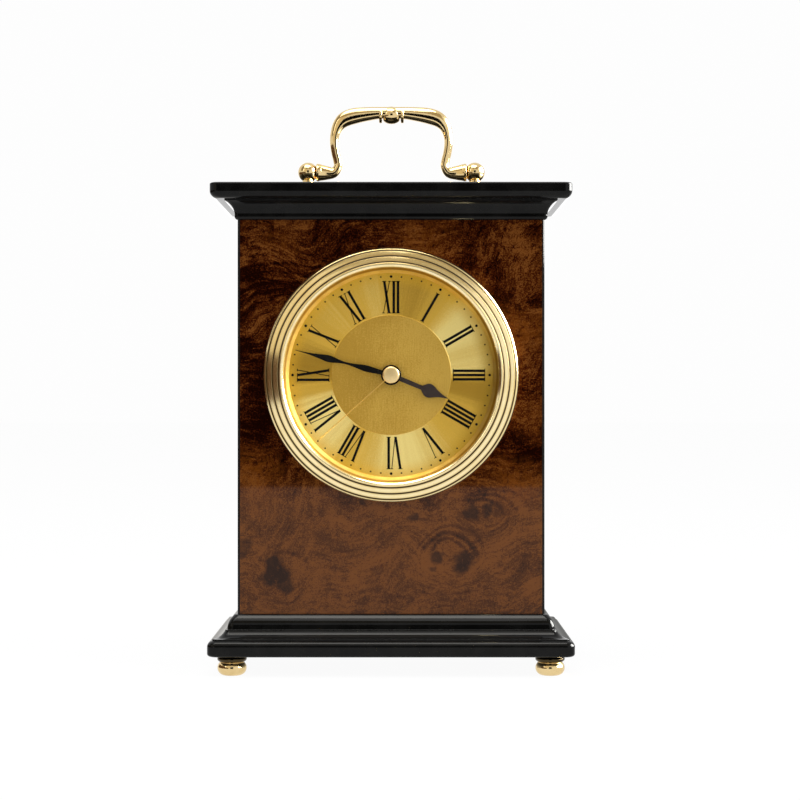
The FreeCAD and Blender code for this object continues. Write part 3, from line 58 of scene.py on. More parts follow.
# A socket in a node tree that can be used in sums.
class Wire:
    def __init__(self, tree, socket=None):
        self.tree = tree
        self.socket = socket

    def node(self, kind, sockets=None, output=0, **settings):
        made = self.tree.nodes.new(kind)
        for name, value in settings.items():
            setattr(made, name, value)
        for name, value in (sockets or {}).items():
            if isinstance(value, Wire):
                self.tree.links.new(value.socket, made.inputs[name])
            else:
                made.inputs[name].default_value = value
        return Wire(self.tree, made.outputs[output]) if len(made.outputs) else None

    def maths(self, operation, *values):
        return self.node("ShaderNodeMath", dict(enumerate(values)), operation=operation)

    def __add__(self, other):
        return self.maths("ADD", self, other)

    def __radd__(self, other):
        return self.maths("ADD", other, self)

    def __sub__(self, other):
        return self.maths("SUBTRACT", self, other)

    def __rsub__(self, other):
        return self.maths("SUBTRACT", other, self)

    def __mul__(self, other):
        return self.maths("MULTIPLY", self, other)

    def __rmul__(self, other):
        return self.maths("MULTIPLY", other, self)

    def __truediv__(self, other):
        return self.maths("DIVIDE", self, other)

    def __rtruediv__(self, other):
        return self.maths("DIVIDE", other, self)

    def __abs__(self):
        return self.maths("ABSOLUTE", self)

    def step(self, low, high):  # smooth ramp from 0 at low to 1 at high
        return self.node("ShaderNodeMapRange", {0: self, 1: low, 2: high}, interpolation_type="SMOOTHSTEP")

    def near(self, middle, width):  # a smooth edge of this half width
        return self.step(middle - width, middle + width)

    def mixed(self, first, second):  # this value chooses between two colours
        return self.node("ShaderNodeMix", {0: self, 6: first, 7: second}, 2, data_type="RGBA")

    def vector(self, operation, *values, output=0):
        return self.node("ShaderNodeVectorMath", dict(enumerate(values)), output, operation=operation)

    def plus(self, other):
        return self.vector("ADD", self, other)

    def away(self, x, z):  # from a point on the front
        return self.vector("SUBTRACT", self, (x, 0, z))

    def length(self):
        return self.vector("LENGTH", self, output=1)

    def scaled(self, factor):
        return self.node("ShaderNodeVectorMath", {0: self, 3: factor}, operation="SCALE")

    def stretched(self, *scale):
        return self.node("ShaderNodeMapping", {"Vector": self, "Scale": scale})

    def noise(self, scale, detail=2.0, roughness=0.5, distortion=0.0, output=0):
        sockets = {"Vector": self, "Scale": scale, "Detail": detail, "Roughness": roughness}
        return self.node("ShaderNodeTexNoise", {**sockets, "Distortion": distortion}, output)

    def parts(self):
        split = self.node("ShaderNodeSeparateXYZ", {0: self})
        return [Wire(self.tree, socket) for socket in split.socket.node.outputs]

    def joined(self, x, y, z):
        return self.node("ShaderNodeCombineXYZ", {0: x, 1: y, 2: z})


# A new material, and its Object coordinates in millimetres from the given centre.
def startMaterial(name, centre=(0, 0, 0)):
    material = bpy.data.materials.new(name)
    material.use_nodes = True
    material.node_tree.nodes.clear()
    spot = Wire(material.node_tree).node("ShaderNodeTexCoord", None, "Object")
    return material, spot.node("ShaderNodeMapping", {
        "Vector": spot, "Location": [-value for value in centre], "Scale": (1 / mm, 1 / mm, 1 / mm),
    })


def endMaterial(place, shader):
    place.node("ShaderNodeOutputMaterial", {"Surface": shader})


def bump(height, strength, distance=0.2):
    return height.node("ShaderNodeBump", {"Height": height, "Strength": strength, "Distance": distance * mm})


metal = {"Metallic": 1.0}


# Ends a material with one shader; others are more of its inputs by name.
def finish(material, place, colour, roughness, normal, others=metal):
    sockets = {"Base Color": colour, "Roughness": roughness, "Normal": normal, **others}
    endMaterial(place, place.node("ShaderNodeBsdfPrincipled", sockets))
    return material


blackLacquer = {
    "base": (0.0028, 0.0027, 0.0025, 1),
    "haze": (0.0065, 0.0063, 0.0058, 1),
    "gloss": 0.045,
    "dullness": 0.05,
    "ripple": 0.05,
    "index": 1.24,
}


def makeBlackLacquer():
    material, place = startMaterial("black lacquer")
    haze = place.noise(0.09, 4, 0.6).step(0.35, 0.75)
    scratches = place.stretched(0.25, 4, 6).noise(1.3, 5, 0.7).step(0.5, 0.8)
    colour = haze.mixed(blackLacquer["base"], blackLacquer["haze"])
    roughness = blackLacquer["gloss"] + (haze * 0.5 + scratches) * blackLacquer["dullness"]
    normal = bump(place.noise(0.28) + place.noise(1.4) * 0.12, blackLacquer["ripple"], 0.3)
    return finish(material, place, colour, roughness, normal, {"IOR": blackLacquer["index"]})


# Woods with upright grain: noise settings of the streaks, size and threshold of the pores, and the relief as
# depth of streaks, depth of pores and strength.
blackStain = {
    "base": (0.006, 0.0055, 0.005, 1),
    "grain": (0.022, 0.019, 0.016, 1),
    "stretch": (1.1, 1.1, 0.06),
    "streaks": (1.6, 5, 0.65, 0.4),
    "pores": (5.5, 0.58, 0.68),
    "poreTone": 0,
    "dull": 0.42,
    "dullSpread": 0.16,
    "relief": (0.6, 0.8, 0.35),
    "others": {"IOR": 1.45},
}
plainWood = {
    "base": (0.52, 0.34, 0.17, 1),
    "grain": (0.33, 0.19, 0.085, 1),
    "stretch": (0.9, 0.9, 0.04),
    "streaks": (1.2, 4, 0.6, 0.6),
    "pores": (7, 0.55, 0.7),
    "poreTone": 0.2,
    "dull": 0.62,
    "dullSpread": 0.15,
    "relief": (1, 1, 0.3),
    "others": {},
}


def makeGrained(name, base, grain, stretch, streaks, pores, poreTone, dull, dullSpread, relief, others):
    material, place = startMaterial(name)
    upright = place.stretched(*stretch)
    streak = upright.noise(*streaks)
    pore = upright.noise(pores[0]).step(*pores[1:])
    tone = streak.step(0.35, 0.7) * (1 - poreTone) + pore * poreTone
    normal = bump(streak * relief[0] - pore * relief[1], relief[2])
    return finish(material, place, tone.mixed(base, grain), dull + streak * dullSpread, normal, others)


# Burl veneer under a clear coat. Rows are places on the face of the case: (x, z, size, strength), and for
# arcs (x, z, radius, width, strength). A zone is lighter or darker, an eye bends the grain, and in a steep
# place the grain stands up.
burl = {
    "dark": (0.0075, 0.0012, 0.0004, 1),
    "brown": (0.042, 0.0074, 0.0013, 1),
    "light": (0.15, 0.049, 0.0095, 1),
    "lowerDark": (0.022, 0.0075, 0.002, 1),
    "lowerBrown": (0.056, 0.0168, 0.0038, 1),
    "amber": (0.145, 0.040, 0.0045, 1),
    "core": (0.013, 0.005, 0.003, 1),
    "knots": (
        (-46.5, 40.2, 7.4, 0.95), (-48.2, 44.6, 4.2, 0.9), (-43.2, 36.6, 5.2, 0.8), (-51.5, 39.4, 3.2, 0.6),
        (-60.0, 50.9, 4.4, 0.55), (32.0, 65.6, 4.6, 0.8), (39.2, 67.3, 3.4, 0.75), (44.5, 66.0, 3.6, 0.35),
        (29.4, 45.4, 6.2, 0.9), (18.8, 46.9, 3.8, 0.8), (17.4, 42.4, 2.0, 0.6), (-11.5, 69.0, 1.8, 0.7),
        (-4.0, 70.4, 1.6, 0.5), (9.1, 63.0, 2.4, 0.8),
    ),
    "arcs": (
        (-46, 120, 46, 1.3, 0.4), (-46, 120, 42.6, 1.0, 0.32), (-48, 119, 38.6, 1.0, 0.28),
        (24.5, 45.2, 11.2, 1.6, 0.5), (24.5, 45.6, 8.4, 1.2, 0.4), (25.0, 44.8, 14.2, 1.1, 0.3),
        (38.0, 63.5, 7.4, 1.5, 0.4), (40.0, 62.0, 11.4, 1.1, 0.32), (42.0, 60.5, 15.2, 1.1, 0.26),
        (-44.0, 38.0, 12.0, 1.4, 0.2),
    ),
    "zones": (
        (-58, 116, 34, -0.22), (-54, 88, 18, -0.06), (58, 92, 16, -0.16), (58, 132, 26, 0.12),
        (48, 172, 22, 0.04), (-2, 180, 20, 0.02), (-48, 158, 20, -0.09),
    ),
    "glows": (
        (-42, 178, 12, 0.7), (54, 140, 22, 0.6), (50, 78, 16, 0.75), (-56, 80, 16, 0.7), (12, 178, 14, 0.45),
        (62, 104, 12, 0.3),
    ),
    "eyes": (
        (25, 43, 18, 12), (40, 60, 18, 11), (-46, 36, 15, 12), (-30, 169, 18, 6), (58, 150, 20, 10),
        (2, 58, 16, -7),
    ),
    "steep": (
        (50, 168, 46, 1.0), (62, 118, 34, 0.8), (-40, 66, 40, 0.9), (-44, 36, 22, 0.5), (0, 45, 24, 0.7),
    ),
    "levelSlope": 8,
    "steepSlope": 64,
    "lowerFrom": 90,
    "lowerTo": 62,
    "coat": 0.34,
}


def makeBurl():
    material, place = startMaterial("burl veneer")
    x, y, z = place.parts()
    flat = place.joined(x, 0.0, z)

    def drift(scale, detail, amount):  # a wandering offset
        cloud = flat.noise(scale, detail, output="Color")
        return cloud.vector("SUBTRACT", cloud, (0.5, 0.5, 0.5)).scaled(amount)

    def spots(name, where):  # soft round patches added together
        total = 0.0
        for spotX, spotZ, size, strength in burl[name]:
            total = (where.away(spotX, spotZ).length() / size).step(1.0, 0.0) * strength + total
        return total

    wobble = flat.plus(drift(0.13, 4, 9))
    bend = flat.plus(drift(0.05, 2, 9))
    flow = flat.plus(drift(0.12, 3, 2.4).plus(drift(0.026, 2, 26)))
    flow = flow.plus(flat.joined(0.0, 0.0, spots("eyes", bend)))
    cores = 0.0
    for knotX, knotZ, size, strength in burl["knots"]:
        reach = wobble.away(knotX, knotZ).length() / size
        cores = reach.maths("MAXIMUM", reach.step(1.0, 0.5) * strength, cores)
    arcs = 0.0
    for arcX, arcZ, size, width, strength in burl["arcs"]:
        away = bend.away(arcX, arcZ)
        upper = (away.parts()[2] / size).step(0.05, 0.6)
        arcs = abs(away.length() - size).step(width, 0.0) * upper * strength + arcs

    def strands(slope):  # long streaks along a slope, coarse and fine
        along = flow.node("ShaderNodeMapping", {
            "Vector": flow, "Rotation": (0, -math.radians(slope), 0), "Scale": (18, 1, 1.2),
        }, vector_type="TEXTURE")
        return along.noise(0.7, 4, 0.55) * 0.9 + along.noise(3.2, 3, 0.6) * 0.6 - 0.75

    steep = spots("steep", bend)
    level = strands(burl["levelSlope"])
    hair = level + (strands(burl["steepSlope"]) - level) * steep.maths("MINIMUM", steep, 1.0)
    figure = flow.noise(0.05, 4, 0.58) + flow.noise(0.17, 3, 0.55) * 0.6 - 0.8
    grit = flat.noise(0.95, 4, 0.7) - 0.5
    dust = flat.noise(2.1, 2, 0.6) - 0.5
    specks = wobble.noise(0.5, 3, 0.7)
    height = flow.parts()[2]
    lines = height.maths("SINE", height * 2.1) * flat.noise(0.05).step(0.46, 0.64)

    # Towards the bottom the veneer is lighter, browner and less figured: partly its own colour, partly a
    # painted reflection of the pale floor in the clear coat.
    lower = z.step(burl["lowerFrom"], burl["lowerTo"])
    detail = hair * 1.4 + figure * 1.35 + lines * 0.06
    fine = (grit * 1.1 + dust * 1.4) * (1 - lower * 0.3)
    tone = 0.43 + detail * (1 - lower * 0.38) + fine + spots("zones", flow) + lower * 0.275 - arcs * 0.7
    shade = lower.mixed(burl["dark"], burl["lowerDark"])
    colour = tone.step(0.18, 0.50).mixed(shade, lower.mixed(burl["brown"], burl["lowerBrown"]))
    colour = tone.step(0.45, 0.88).mixed(colour, burl["light"])
    colour = (spots("glows", flow) * specks.step(0.34, 0.62)).mixed(colour, burl["amber"])
    colour = (cores * specks.step(0.16, 0.44) * 0.95).mixed(colour, burl["core"])
    return finish(material, place, colour, 0.55 + grit * 0.2, bump(flat.noise(0.17), 0.04, 0.3), {
        "Specular IOR Level": 0.0, "Coat Weight": burl["coat"], "Coat Roughness": 0.025, "Coat IOR": 1.5,
    })


polishedBrass = {"base": (0.80, 0.61, 0.31, 1), "deep": (0.64, 0.45, 0.19, 1), "polish": 0.08, "wear": 0.16}
# Foot brass has painted shade on the collar under the plinth, standing for its shadow and the plinth's black
# reflection.
footBrass = {**polishedBrass, "paintedShade": (0.022, 0.015, 0.008, 1), "shadeAbove": 5.4}
spunBrass = {"base": (0.92, 0.69, 0.35, 1), "deep": (0.80, 0.56, 0.27, 1), "polish": 0.36, "wear": 0.12}
handGilt = {"base": (0.77, 0.50, 0.14, 1), "deep": (0.66, 0.42, 0.10, 1), "polish": 0.36, "wear": 0.12}


def makeBrass(name, values, scale=1.0):
    material, place = startMaterial(name)
    cloud = place.noise(0.16 * scale, 4, 0.6)
    rub = place.noise(1.1 * scale, 4, 0.65)
    spots = place.noise(2.6 * scale).step(0.66, 0.76)
    colour = (cloud.step(0.35, 0.75) * 0.65 + spots * 0.3).mixed(values["base"], values["deep"])
    # Painted shade above a height, where the part stands in shadow.
    if "paintedShade" in values:
        high = place.parts()[2].near(values["shadeAbove"], 0.3)
        colour = (high * 0.95).mixed(colour, values["paintedShade"])
    roughness = values["polish"] + (rub.step(0.45, 0.85) * 0.5 + spots) * values["wear"]
    return finish(material, place, colour, roughness, bump(cloud + rub * 0.15, 0.08, 0.4))


# A material round the dial's axis: the point on the dial and its distance from the axis.
def startDialMaterial(name):
    material, place = startMaterial(name, dialAxis)
    x, y, z = place.parts()
    flat = place.joined(x, 0.0, z)
    return material, place, flat, flat.length()


# 1 on a line round the axis.
def ringLine(radius, middle, width):
    return abs(radius - middle).step(width, width * 0.3)


# Bezel: turned brass, with painted shade beside the grooves between its rings and darker painted shade in
# them.
bezelBrass = {
    "base": (0.96, 0.81, 0.47, 1),
    "deep": (0.87, 0.67, 0.31, 1),
    "shade": (0.60, 0.42, 0.14, 1),
    "shadeWidth": 1.05,
    "paintedShade": (0.115, 0.066, 0.022, 1),
    "grooves": (45.35, 47.8, 50.15),
    "grooveWidth": 0.5,
    "polish": 0.11,
}


def makeBezelBrass():
    material, place, flat, radius = startDialMaterial("bezel brass")
    grooves = 0.0
    shades = 0.0
    for groove in bezelBrass["grooves"]:
        grooves = ringLine(radius, groove, bezelBrass["grooveWidth"]) + grooves
        shades = abs(radius - groove).step(bezelBrass["shadeWidth"], 0.2) + shades
    turning = flat.joined(radius * 6, 0.0, 0.0).noise(1.0, 4, 0.6)
    cloud = place.noise(0.12, 3, 0.6)
    tone = cloud.step(0.35, 0.75) * 0.6 + (turning - 0.5) * 0.4
    colour = tone.mixed(bezelBrass["base"], bezelBrass["deep"])
    # Painted shade beside the grooves and in them.
    colour = (shades * 0.6).mixed(colour, bezelBrass["shade"])
    colour = (grooves * 0.92).mixed(colour, bezelBrass["paintedShade"])
    roughness = bezelBrass["polish"] + turning * 0.06 + grooves * 0.25
    return finish(material, place, colour, roughness, bump(turning * 0.2 + cloud * 0.5, 0.05, 0.3))


# Gilt dial: radial brushing on the hour ring, upright brushing on the middle. A sheen is a painted
# reflection, a
# lighter or darker sector of the ring: (degrees from twelve, half width, strength).
giltDial = {
    "ringDeep": (0.46, 0.265, 0.035, 1),
    "ring": (0.76, 0.47, 0.075, 1),
    "ringPale": (1.0, 0.79, 0.29, 1),
    "middle": (0.60, 0.385, 0.08, 1),
    "middleDeep": (0.47, 0.28, 0.045, 1),
    "middleRadius": 24.3,
    # The rim colour and radii paint a reflection of the gilt ring: the dial turns amber towards the rim.
    "rim": (0.90, 0.52, 0.05, 1),
    "rimFrom": 35,
    "rimTo": 41.5,
    # The dull colour, its radii, its angle and its half width paint the bezel's shadow on one side of the
    # rim.
    "dull": (0.20, 0.125, 0.024, 1),
    "shadowFrom": 34,
    "shadowTo": 42.5,
    "shadowAt": 98,
    "shadowWidth": 74,
    "rays": 0.15,
    "brushing": 0.09,
    "sheens": (
        (14, 30, -0.2), (58, 28, 0.36), (84, 14, 0.24), (99, 15, -0.34), (120, 22, -0.10), (170, 42, 0.30),
        (231, 28, 0.34), (252, 16, 0.14), (276, 24, -0.34), (318, 26, 0.05), (350, 14, 0.12),
    ),
}


# 1 along a direction of the dial, falling to 0 at the half width.
def sector(flat, degrees, width):
    x, y, z = flat.parts()
    apart = x.maths("WRAP", x.maths("ARCTAN2", x, z) - math.radians(degrees), math.pi, -math.pi)
    return abs(apart).step(math.radians(width), 0.0)


# Painted shadow of the bezel: darker towards the rim, on one side.
def paintedBezelShadow(flat, radius):
    side = sector(flat, giltDial["shadowAt"], giltDial["shadowWidth"])
    return side * radius.step(giltDial["shadowFrom"], giltDial["shadowTo"])


def makeGiltDial():
    material, place, flat, radius = startDialMaterial("gilt dial")
    outward = flat.vector("NORMALIZE", flat)
    outX, outY, outZ = outward.parts()
    aside = flat.joined(outZ * -1, 0.0, outX)
    onRing = radius.near(giltDial["middleRadius"], 0.1)
    # Painted reflection: lighter and darker sectors of the hour ring.
    sheen = 0.0
    for degrees, width, strength in giltDial["sheens"]:
        sheen = sector(flat, degrees, width) * strength + sheen

    # Rays are the same all along a radius, with a trace of change outwards.
    rayPlace = outward.scaled(26).plus(flat.joined(0.0, radius * 0.012, 0.0))
    rays = rayPlace.noise(1.0, 6, 0.72) - 0.5
    broadRays = rayPlace.noise(0.085) - 0.5
    strokes = flat.stretched(2.6, 1, 0.13).noise(1.0, 5, 0.68) - 0.5
    blotch = flat.noise(0.06, 3)
    grain = flat.noise(1.5, 3, 0.7) - 0.5

    tilt = onRing * (rays * giltDial["rays"] * 2 + broadRays * 0.12)
    sway = (1 - onRing) * strokes * giltDial["brushing"] * 2
    facing = place.node("ShaderNodeNewGeometry", None, "Normal")
    leaning = facing.plus(aside.scaled(tilt)).plus(flat.joined(sway, 0.0, 0.0))
    normal = flat.vector("NORMALIZE", leaning)

    ringTone = rays * 0.6 + sheen * 2.4 + grain * 0.5
    ringColour = ringTone.step(-0.8, 0.0).mixed(giltDial["ringDeep"], giltDial["ring"])
    ringColour = ringTone.step(0.0, 0.8).mixed(ringColour, giltDial["ringPale"])
    # Painted light: the middle is paler towards the right, where the light falls.
    across = flat.parts()[0].step(-24, 20) - 0.5
    middleTone = (blotch * 0.7 + strokes + grain * 1.3 + across * 0.36).step(0.1, 0.62)
    colour = onRing.mixed(middleTone.mixed(giltDial["middleDeep"], giltDial["middle"]), ringColour)
    # Painted reflection of the gilt ring, amber towards the rim.
    colour = (radius.step(giltDial["rimFrom"], giltDial["rimTo"]) * 0.55).mixed(colour, giltDial["rim"])
    # Painted shadow of the bezel on one side of the rim.
    colour = (paintedBezelShadow(flat, radius) * 0.72).mixed(colour, giltDial["dull"])
    roughness = 0.54 - onRing * 0.10 + (rays + strokes) * 0.1
    return finish(material, place, colour, roughness, normal)


giltRing = {
    "base": (0.97, 0.78, 0.30, 1),
    "deep": (0.90, 0.68, 0.20, 1),
    "line": (0.36, 0.17, 0.012, 1),
    "lineRadius": 42.9,
    "lineWidth": 0.6,
    "polish": 0.48,
}


def makeGiltRing():
    material, place, flat, radius = startDialMaterial("gilt ring")
    line = ringLine(radius, giltRing["lineRadius"], giltRing["lineWidth"])
    turning = flat.joined(radius * 5, 0.0, 0.0).noise(1.0, 3, 0.6)
    colour = place.noise(0.15, 3, 0.6).step(0.35, 0.7).mixed(giltRing["base"], giltRing["deep"])
    colour = (line * 0.8).mixed(colour, giltRing["line"])
    # Painted shadow of the bezel on one side of the ring.
    colour = (paintedBezelShadow(flat, radius) * 0.6).mixed(colour, giltDial["dull"])
    return finish(material, place, colour, giltRing["polish"] + turning * 0.1, bump(turning, 0.05))


glass = {"tint": (0.985, 0.99, 0.985, 1), "shine": (0.9, 0.92, 0.92, 1), "index": 1.45, "edgeIndex": 1.26}


def makeGlass():
    material, place = startMaterial("clear glass")
    edge = place.node("ShaderNodeFresnel", {"IOR": glass["edgeIndex"]})
    clear = place.node("ShaderNodeBsdfTransparent", {"Color": glass["tint"]})
    smear = 0.02 + place.noise(0.12, 3, 0.6) * 0.03
    shine = place.node("ShaderNodeBsdfPrincipled", {
        "Base Color": glass["shine"], "Roughness": smear, "IOR": glass["index"], **metal,
    })
    inside = place.node("ShaderNodeNewGeometry", None, "Backfacing")
    endMaterial(place, place.node("ShaderNodeMixShader", {0: edge * (1 - inside), 1: clear, 2: shine}))
    return material


# Paint and moulded plastic: colour, mottled colour, roughness, scale and depth of the texture, and for some
# metallic and sheen.
painted = {
    "black_enamel": ((0.003, 0.0027, 0.0025, 1), (0.006, 0.0055, 0.005, 1), 0.34, 3, 0.05, 0.0, 0.1),
    "black_plastic": ((0.018, 0.018, 0.019, 1), (0.028, 0.028, 0.028, 1), 0.5, 2.4, 0.25),
    "white_plastic": ((0.72, 0.70, 0.64, 1), (0.62, 0.60, 0.54, 1), 0.38, 2, 0.12),
    "black_rubber": ((0.02, 0.02, 0.02, 1), (0.034, 0.033, 0.032, 1), 0.78, 4, 0.4),
    "copper_wire": ((0.72, 0.30, 0.13, 1), (0.58, 0.22, 0.09, 1), 0.25, 6, 0.2, 1.0),
    "board_laminate": ((0.025, 0.14, 0.045, 1), (0.018, 0.10, 0.034, 1), 0.42, 5, 0.15),
}
# The hour hand's enamel is a little lighter than the minute hand's black: a painted reflection.
hourHandReflectionPaint = ((0.032, 0.021, 0.019, 1), (0.04, 0.027, 0.024, 1), 0.3, 3, 0.05, 0.0, 0.3)


def makePainted(name, colour, mottled, roughness, textureScale, textureDepth, metallic=0.0, sheen=0.5):
    material, place = startMaterial(name)
    mottle = place.noise(0.35, 4, 0.6)
    shade = mottle.step(0.35, 0.7).mixed(colour, mottled)
    normal = bump(place.noise(textureScale, 3, 0.6), textureDepth)
    return finish(material, place, shade, roughness + (mottle - 0.5) * 0.12, normal,
                  {"Metallic": metallic, "Specular IOR Level": sheen})


# Brushed steel, its lines along X.
steel = {"base": (0.62, 0.61, 0.59, 1), "stain": (0.46, 0.45, 0.43, 1), "polish": 0.24}


def makeSteel():
    material, place = startMaterial("steel")
    lines = place.stretched(0.2, 3, 3).noise(1.8, 4, 0.65)
    colour = place.noise(0.25, 3, 0.6).step(0.4, 0.75).mixed(steel["base"], steel["stain"])
    return finish(material, place, colour, steel["polish"] + lines * 0.18, bump(lines, 0.12))


# Battery: a plain wrap with a pale band, and bare steel ends.
battery = {
    "endAt": 23.2,
    "bandAt": 11.5,
    "wrap": (0.02, 0.022, 0.026, 1),
    "band": (0.55, 0.43, 0.22, 1),
    "end": (0.6, 0.59, 0.57, 1),
}


def makeCellWrap():
    material, place = startMaterial("cell wrap")
    x = place.parts()[0]
    bare = abs(x).near(battery["endAt"], 0.1)
    band = x.near(battery["bandAt"], 0.15)
    scuff = place.noise(0.5, 4, 0.65)
    colour = bare.mixed(band.mixed(battery["wrap"], battery["band"]), battery["end"])
    return finish(material, place, colour, 0.22 + scuff * 0.16, bump(scuff, 0.05),
                  {"Metallic": bare.maths("MAXIMUM", bare, band * 0.7)})


finishes = {
    "black_lacquer": makeBlackLacquer(),
    "black_stain": makeGrained("black stain", **blackStain),
    "burl": makeBurl(),
    "plain_wood": makeGrained("plain wood", **plainWood),
    "polished_brass": makeBrass("polished brass", polishedBrass),
    "gilt": makeGiltDial(),
    "clear_glass": makeGlass(),
    "steel": makeSteel(),
    "cell_wrap": makeCellWrap(),
}
for slotName, values in painted.items():
    finishes[slotName] = makePainted(slotName.replace("_", " "), *values)
ringGilt = makeGiltRing()
secondGilt = makeBrass("gilt hand", handGilt)
capBrass = makeBrass("spun brass", spunBrass, 2.0)
hourReflectionEnamel = makePainted("hour hand enamel", *hourHandReflectionPaint)
turnedBrass = makeBezelBrass()
shadedFootBrass = makeBrass("foot brass", footBrass)
print("materials made:", len(finishes) + 6)


# Points of an arc after its start. It bulges to the right of the way, or to the left for a negative radius.
def arcPoints(start, end, radius, count):
    first = complex(*start)
    chord = complex(*end) - first
    half = abs(chord) / 2
    size = max(abs(radius), half)
    turn = math.copysign(1, radius)
    centre = first + chord / 2 + 1j * turn * chord / abs(chord) * math.sqrt(size ** 2 - half ** 2)
    sweep = 2 * math.asin(half / size) * turn
    turns = [cmath.rect(1, sweep * step / count) for step in range(1, count + 1)]
    points = [centre + (first - centre) * part for part in turns]
    return [(point.real, point.imag) for point in points]


# An outline from (x, y) corners; a third number is the radius of the arc that leads to the corner.
def outline(steps, count=8):
    points = [steps[0][:2]]
    for step in steps[1:]:
        if len(step) == 2:
            points.append(step)
        else:
            points.extend(arcPoints(points[-1], step[:2], step[2], count))
    return points


# Eases the corners of an outline by a small curve where it turns by more than the least angle.
def eased(points, cut, least=25):
    if not cut:
        return points
    result = [points[0]]
    for before, here, after in zip(points, points[1:], points[2:]):
        corner = Vector(here)
        back = Vector(before) - corner
        ahead = Vector(after) - corner
        if min(back.length, ahead.length) < 1e-6 or math.degrees(math.pi - back.angle(ahead)) < least:
            result.append(here)
            continue
        start = corner + back.normalized() * min(cut, back.length * 0.4)
        end = corner + ahead.normalized() * min(cut, ahead.length * 0.4)
        for share in (0, 0.33, 0.67, 1):
            curve = start * (1 - share) ** 2 + corner * 2 * share * (1 - share) + end * share ** 2
            result.append(tuple(curve))
    result.append(points[-1])
    return result


# Vertices and faces between loops of points. A loop of one point closes the shape, and so does a cap.
def lofted(loops, capped=True):
    vertices = []
    rings = []
    for loop in loops:
        rings.append(list(range(len(vertices), len(vertices) + len(loop))))
        vertices.extend([value * mm for value in point] for point in loop)
    faces = [rings[0][::-1], rings[-1]] if capped else []
    for low, high in zip(rings, rings[1:]):
        around = max(len(low), len(high))
        for index in range(around):
            after = (index + 1) % around
            corners = [low[index % len(low)], low[after % len(low)],
                       high[after % len(high)], high[index % len(high)]]
            corners = list(dict.fromkeys(corners))
            if len(corners) > 2:
                faces.append(corners)
    return vertices, faces


# A shape turned round an axis, from (radius, distance along the axis) points.
def turned(profile, axis, centre, around=64):
    loops = []
    for radius, along in profile:
        count = 1 if radius < 1e-6 else around
        loop = []
        for index in range(count):
            angle = 2 * math.pi * index / count
            across = (radius * math.cos(angle), radius * math.sin(angle))
            offset = {"x": (along, *across), "y": (across[0], along, across[1]), "z": (*across, along)}[axis]
            loop.append([value + shift for value, shift in zip(centre, offset)])
        loops.append(loop)
    return lofted(loops, False)


def together(*shapes):
    vertices = []
    faces = []
    for shapeVertices, shapeFaces in shapes:
        shift = len(vertices)
        vertices.extend(shapeVertices)
        faces.extend([[index + shift for index in face] for face in shapeFaces])
    return vertices, faces


def shaded(mesh, sharp):  # smooth, but for edges over this angle
    mesh.shade_smooth()
    mesh.set_sharp_from_angle(angle=math.radians(sharp))


def settle(mesh, sharp):
    form = bmesh.new()
    form.from_mesh(mesh)
    bmesh.ops.remove_doubles(form, verts=form.verts, dist=2e-7)
    bmesh.ops.recalc_face_normals(form, faces=form.faces)
    form.to_mesh(mesh)
    form.free()
    shaded(mesh, sharp)


def linked(name, data):
    made = bpy.data.objects.new(name, data)
    scene.collection.objects.link(made)
    return made


# The plain mesh of an object with its modifiers applied; the object goes.
def baked(holder, name):
    bpy.context.view_layer.update()
    graph = bpy.context.evaluated_depsgraph_get()
    result = bpy.data.meshes.new_from_object(holder.evaluated_get(graph), depsgraph=graph)
    source = holder.data
    holder.modifiers.clear()
    bpy.data.objects.remove(holder)
    bpy.data.meshes.remove(source)
    result.name = name
    return result


# Normals weighted by face area, so that flat faces stay flat beside rounded edges.
def weighted(mesh):
    holder = linked(mesh.name + "Holder", mesh)
    holder.modifiers.new("weights", "WEIGHTED_NORMAL").keep_sharp = True
    return baked(holder, mesh.name)


def pieceName(node):  # front_panel is dressed by frontPanel
    first, *others = node.split("_")
    return first + "".join(word.title() for word in others)


# Adds a piece that stands in for a CAD node, or without a node, trim with its own name and body.
def addPiece(node, mesh, slotName, material=None, name=None, body=None):
    mesh.materials.clear()
    mesh.materials.append(material or finishes[slotName])
    piece = linked(name or pieceName(node), mesh)
    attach(piece, body or nodeBody[node])
    if node:
        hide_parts(node)


def makePiece(node, shape, slotName, material=None, sharp=40, name=None, body=None):
    mesh = bpy.data.meshes.new(name or pieceName(node))
    mesh.from_pydata(shape[0], [], shape[1])
    settle(mesh, sharp)
    addPiece(node, weighted(mesh), slotName, material, name, body)


# A smooth copy of a CAD node; edges that turn by more than the least angle are eased by a width.
dressing = {"merge": 2e-6, "flatAngle": 0.5, "leastAngle": 50, "segments": 2, "round": 0.6, "sharp": 32}


def dressNode(node, slotName, ease=0.0):
    form = bmesh.new()
    form.from_mesh(nodes[node].data)
    bmesh.ops.remove_doubles(form, verts=form.verts, dist=dressing["merge"])
    bmesh.ops.dissolve_limit(form, angle_limit=math.radians(dressing["flatAngle"]), verts=form.verts,
                             edges=form.edges)
    if ease:
        least = math.radians(dressing["leastAngle"])
        edges = [edge for edge in form.edges if edge.calc_face_angle(0) > least]
        bmesh.ops.bevel(form, geom=edges, offset=ease * mm, segments=dressing["segments"],
                        profile=dressing["round"], affect="EDGES", clamp_overlap=True)
    mesh = bpy.data.meshes.new(pieceName(node))
    form.to_mesh(mesh)
    form.free()
    for attribute in [item for item in mesh.attributes if item.name == "custom_normal"]:
        mesh.attributes.remove(attribute)
    shaded(mesh, dressing["sharp"])
    addPiece(node, weighted(mesh), slotName)


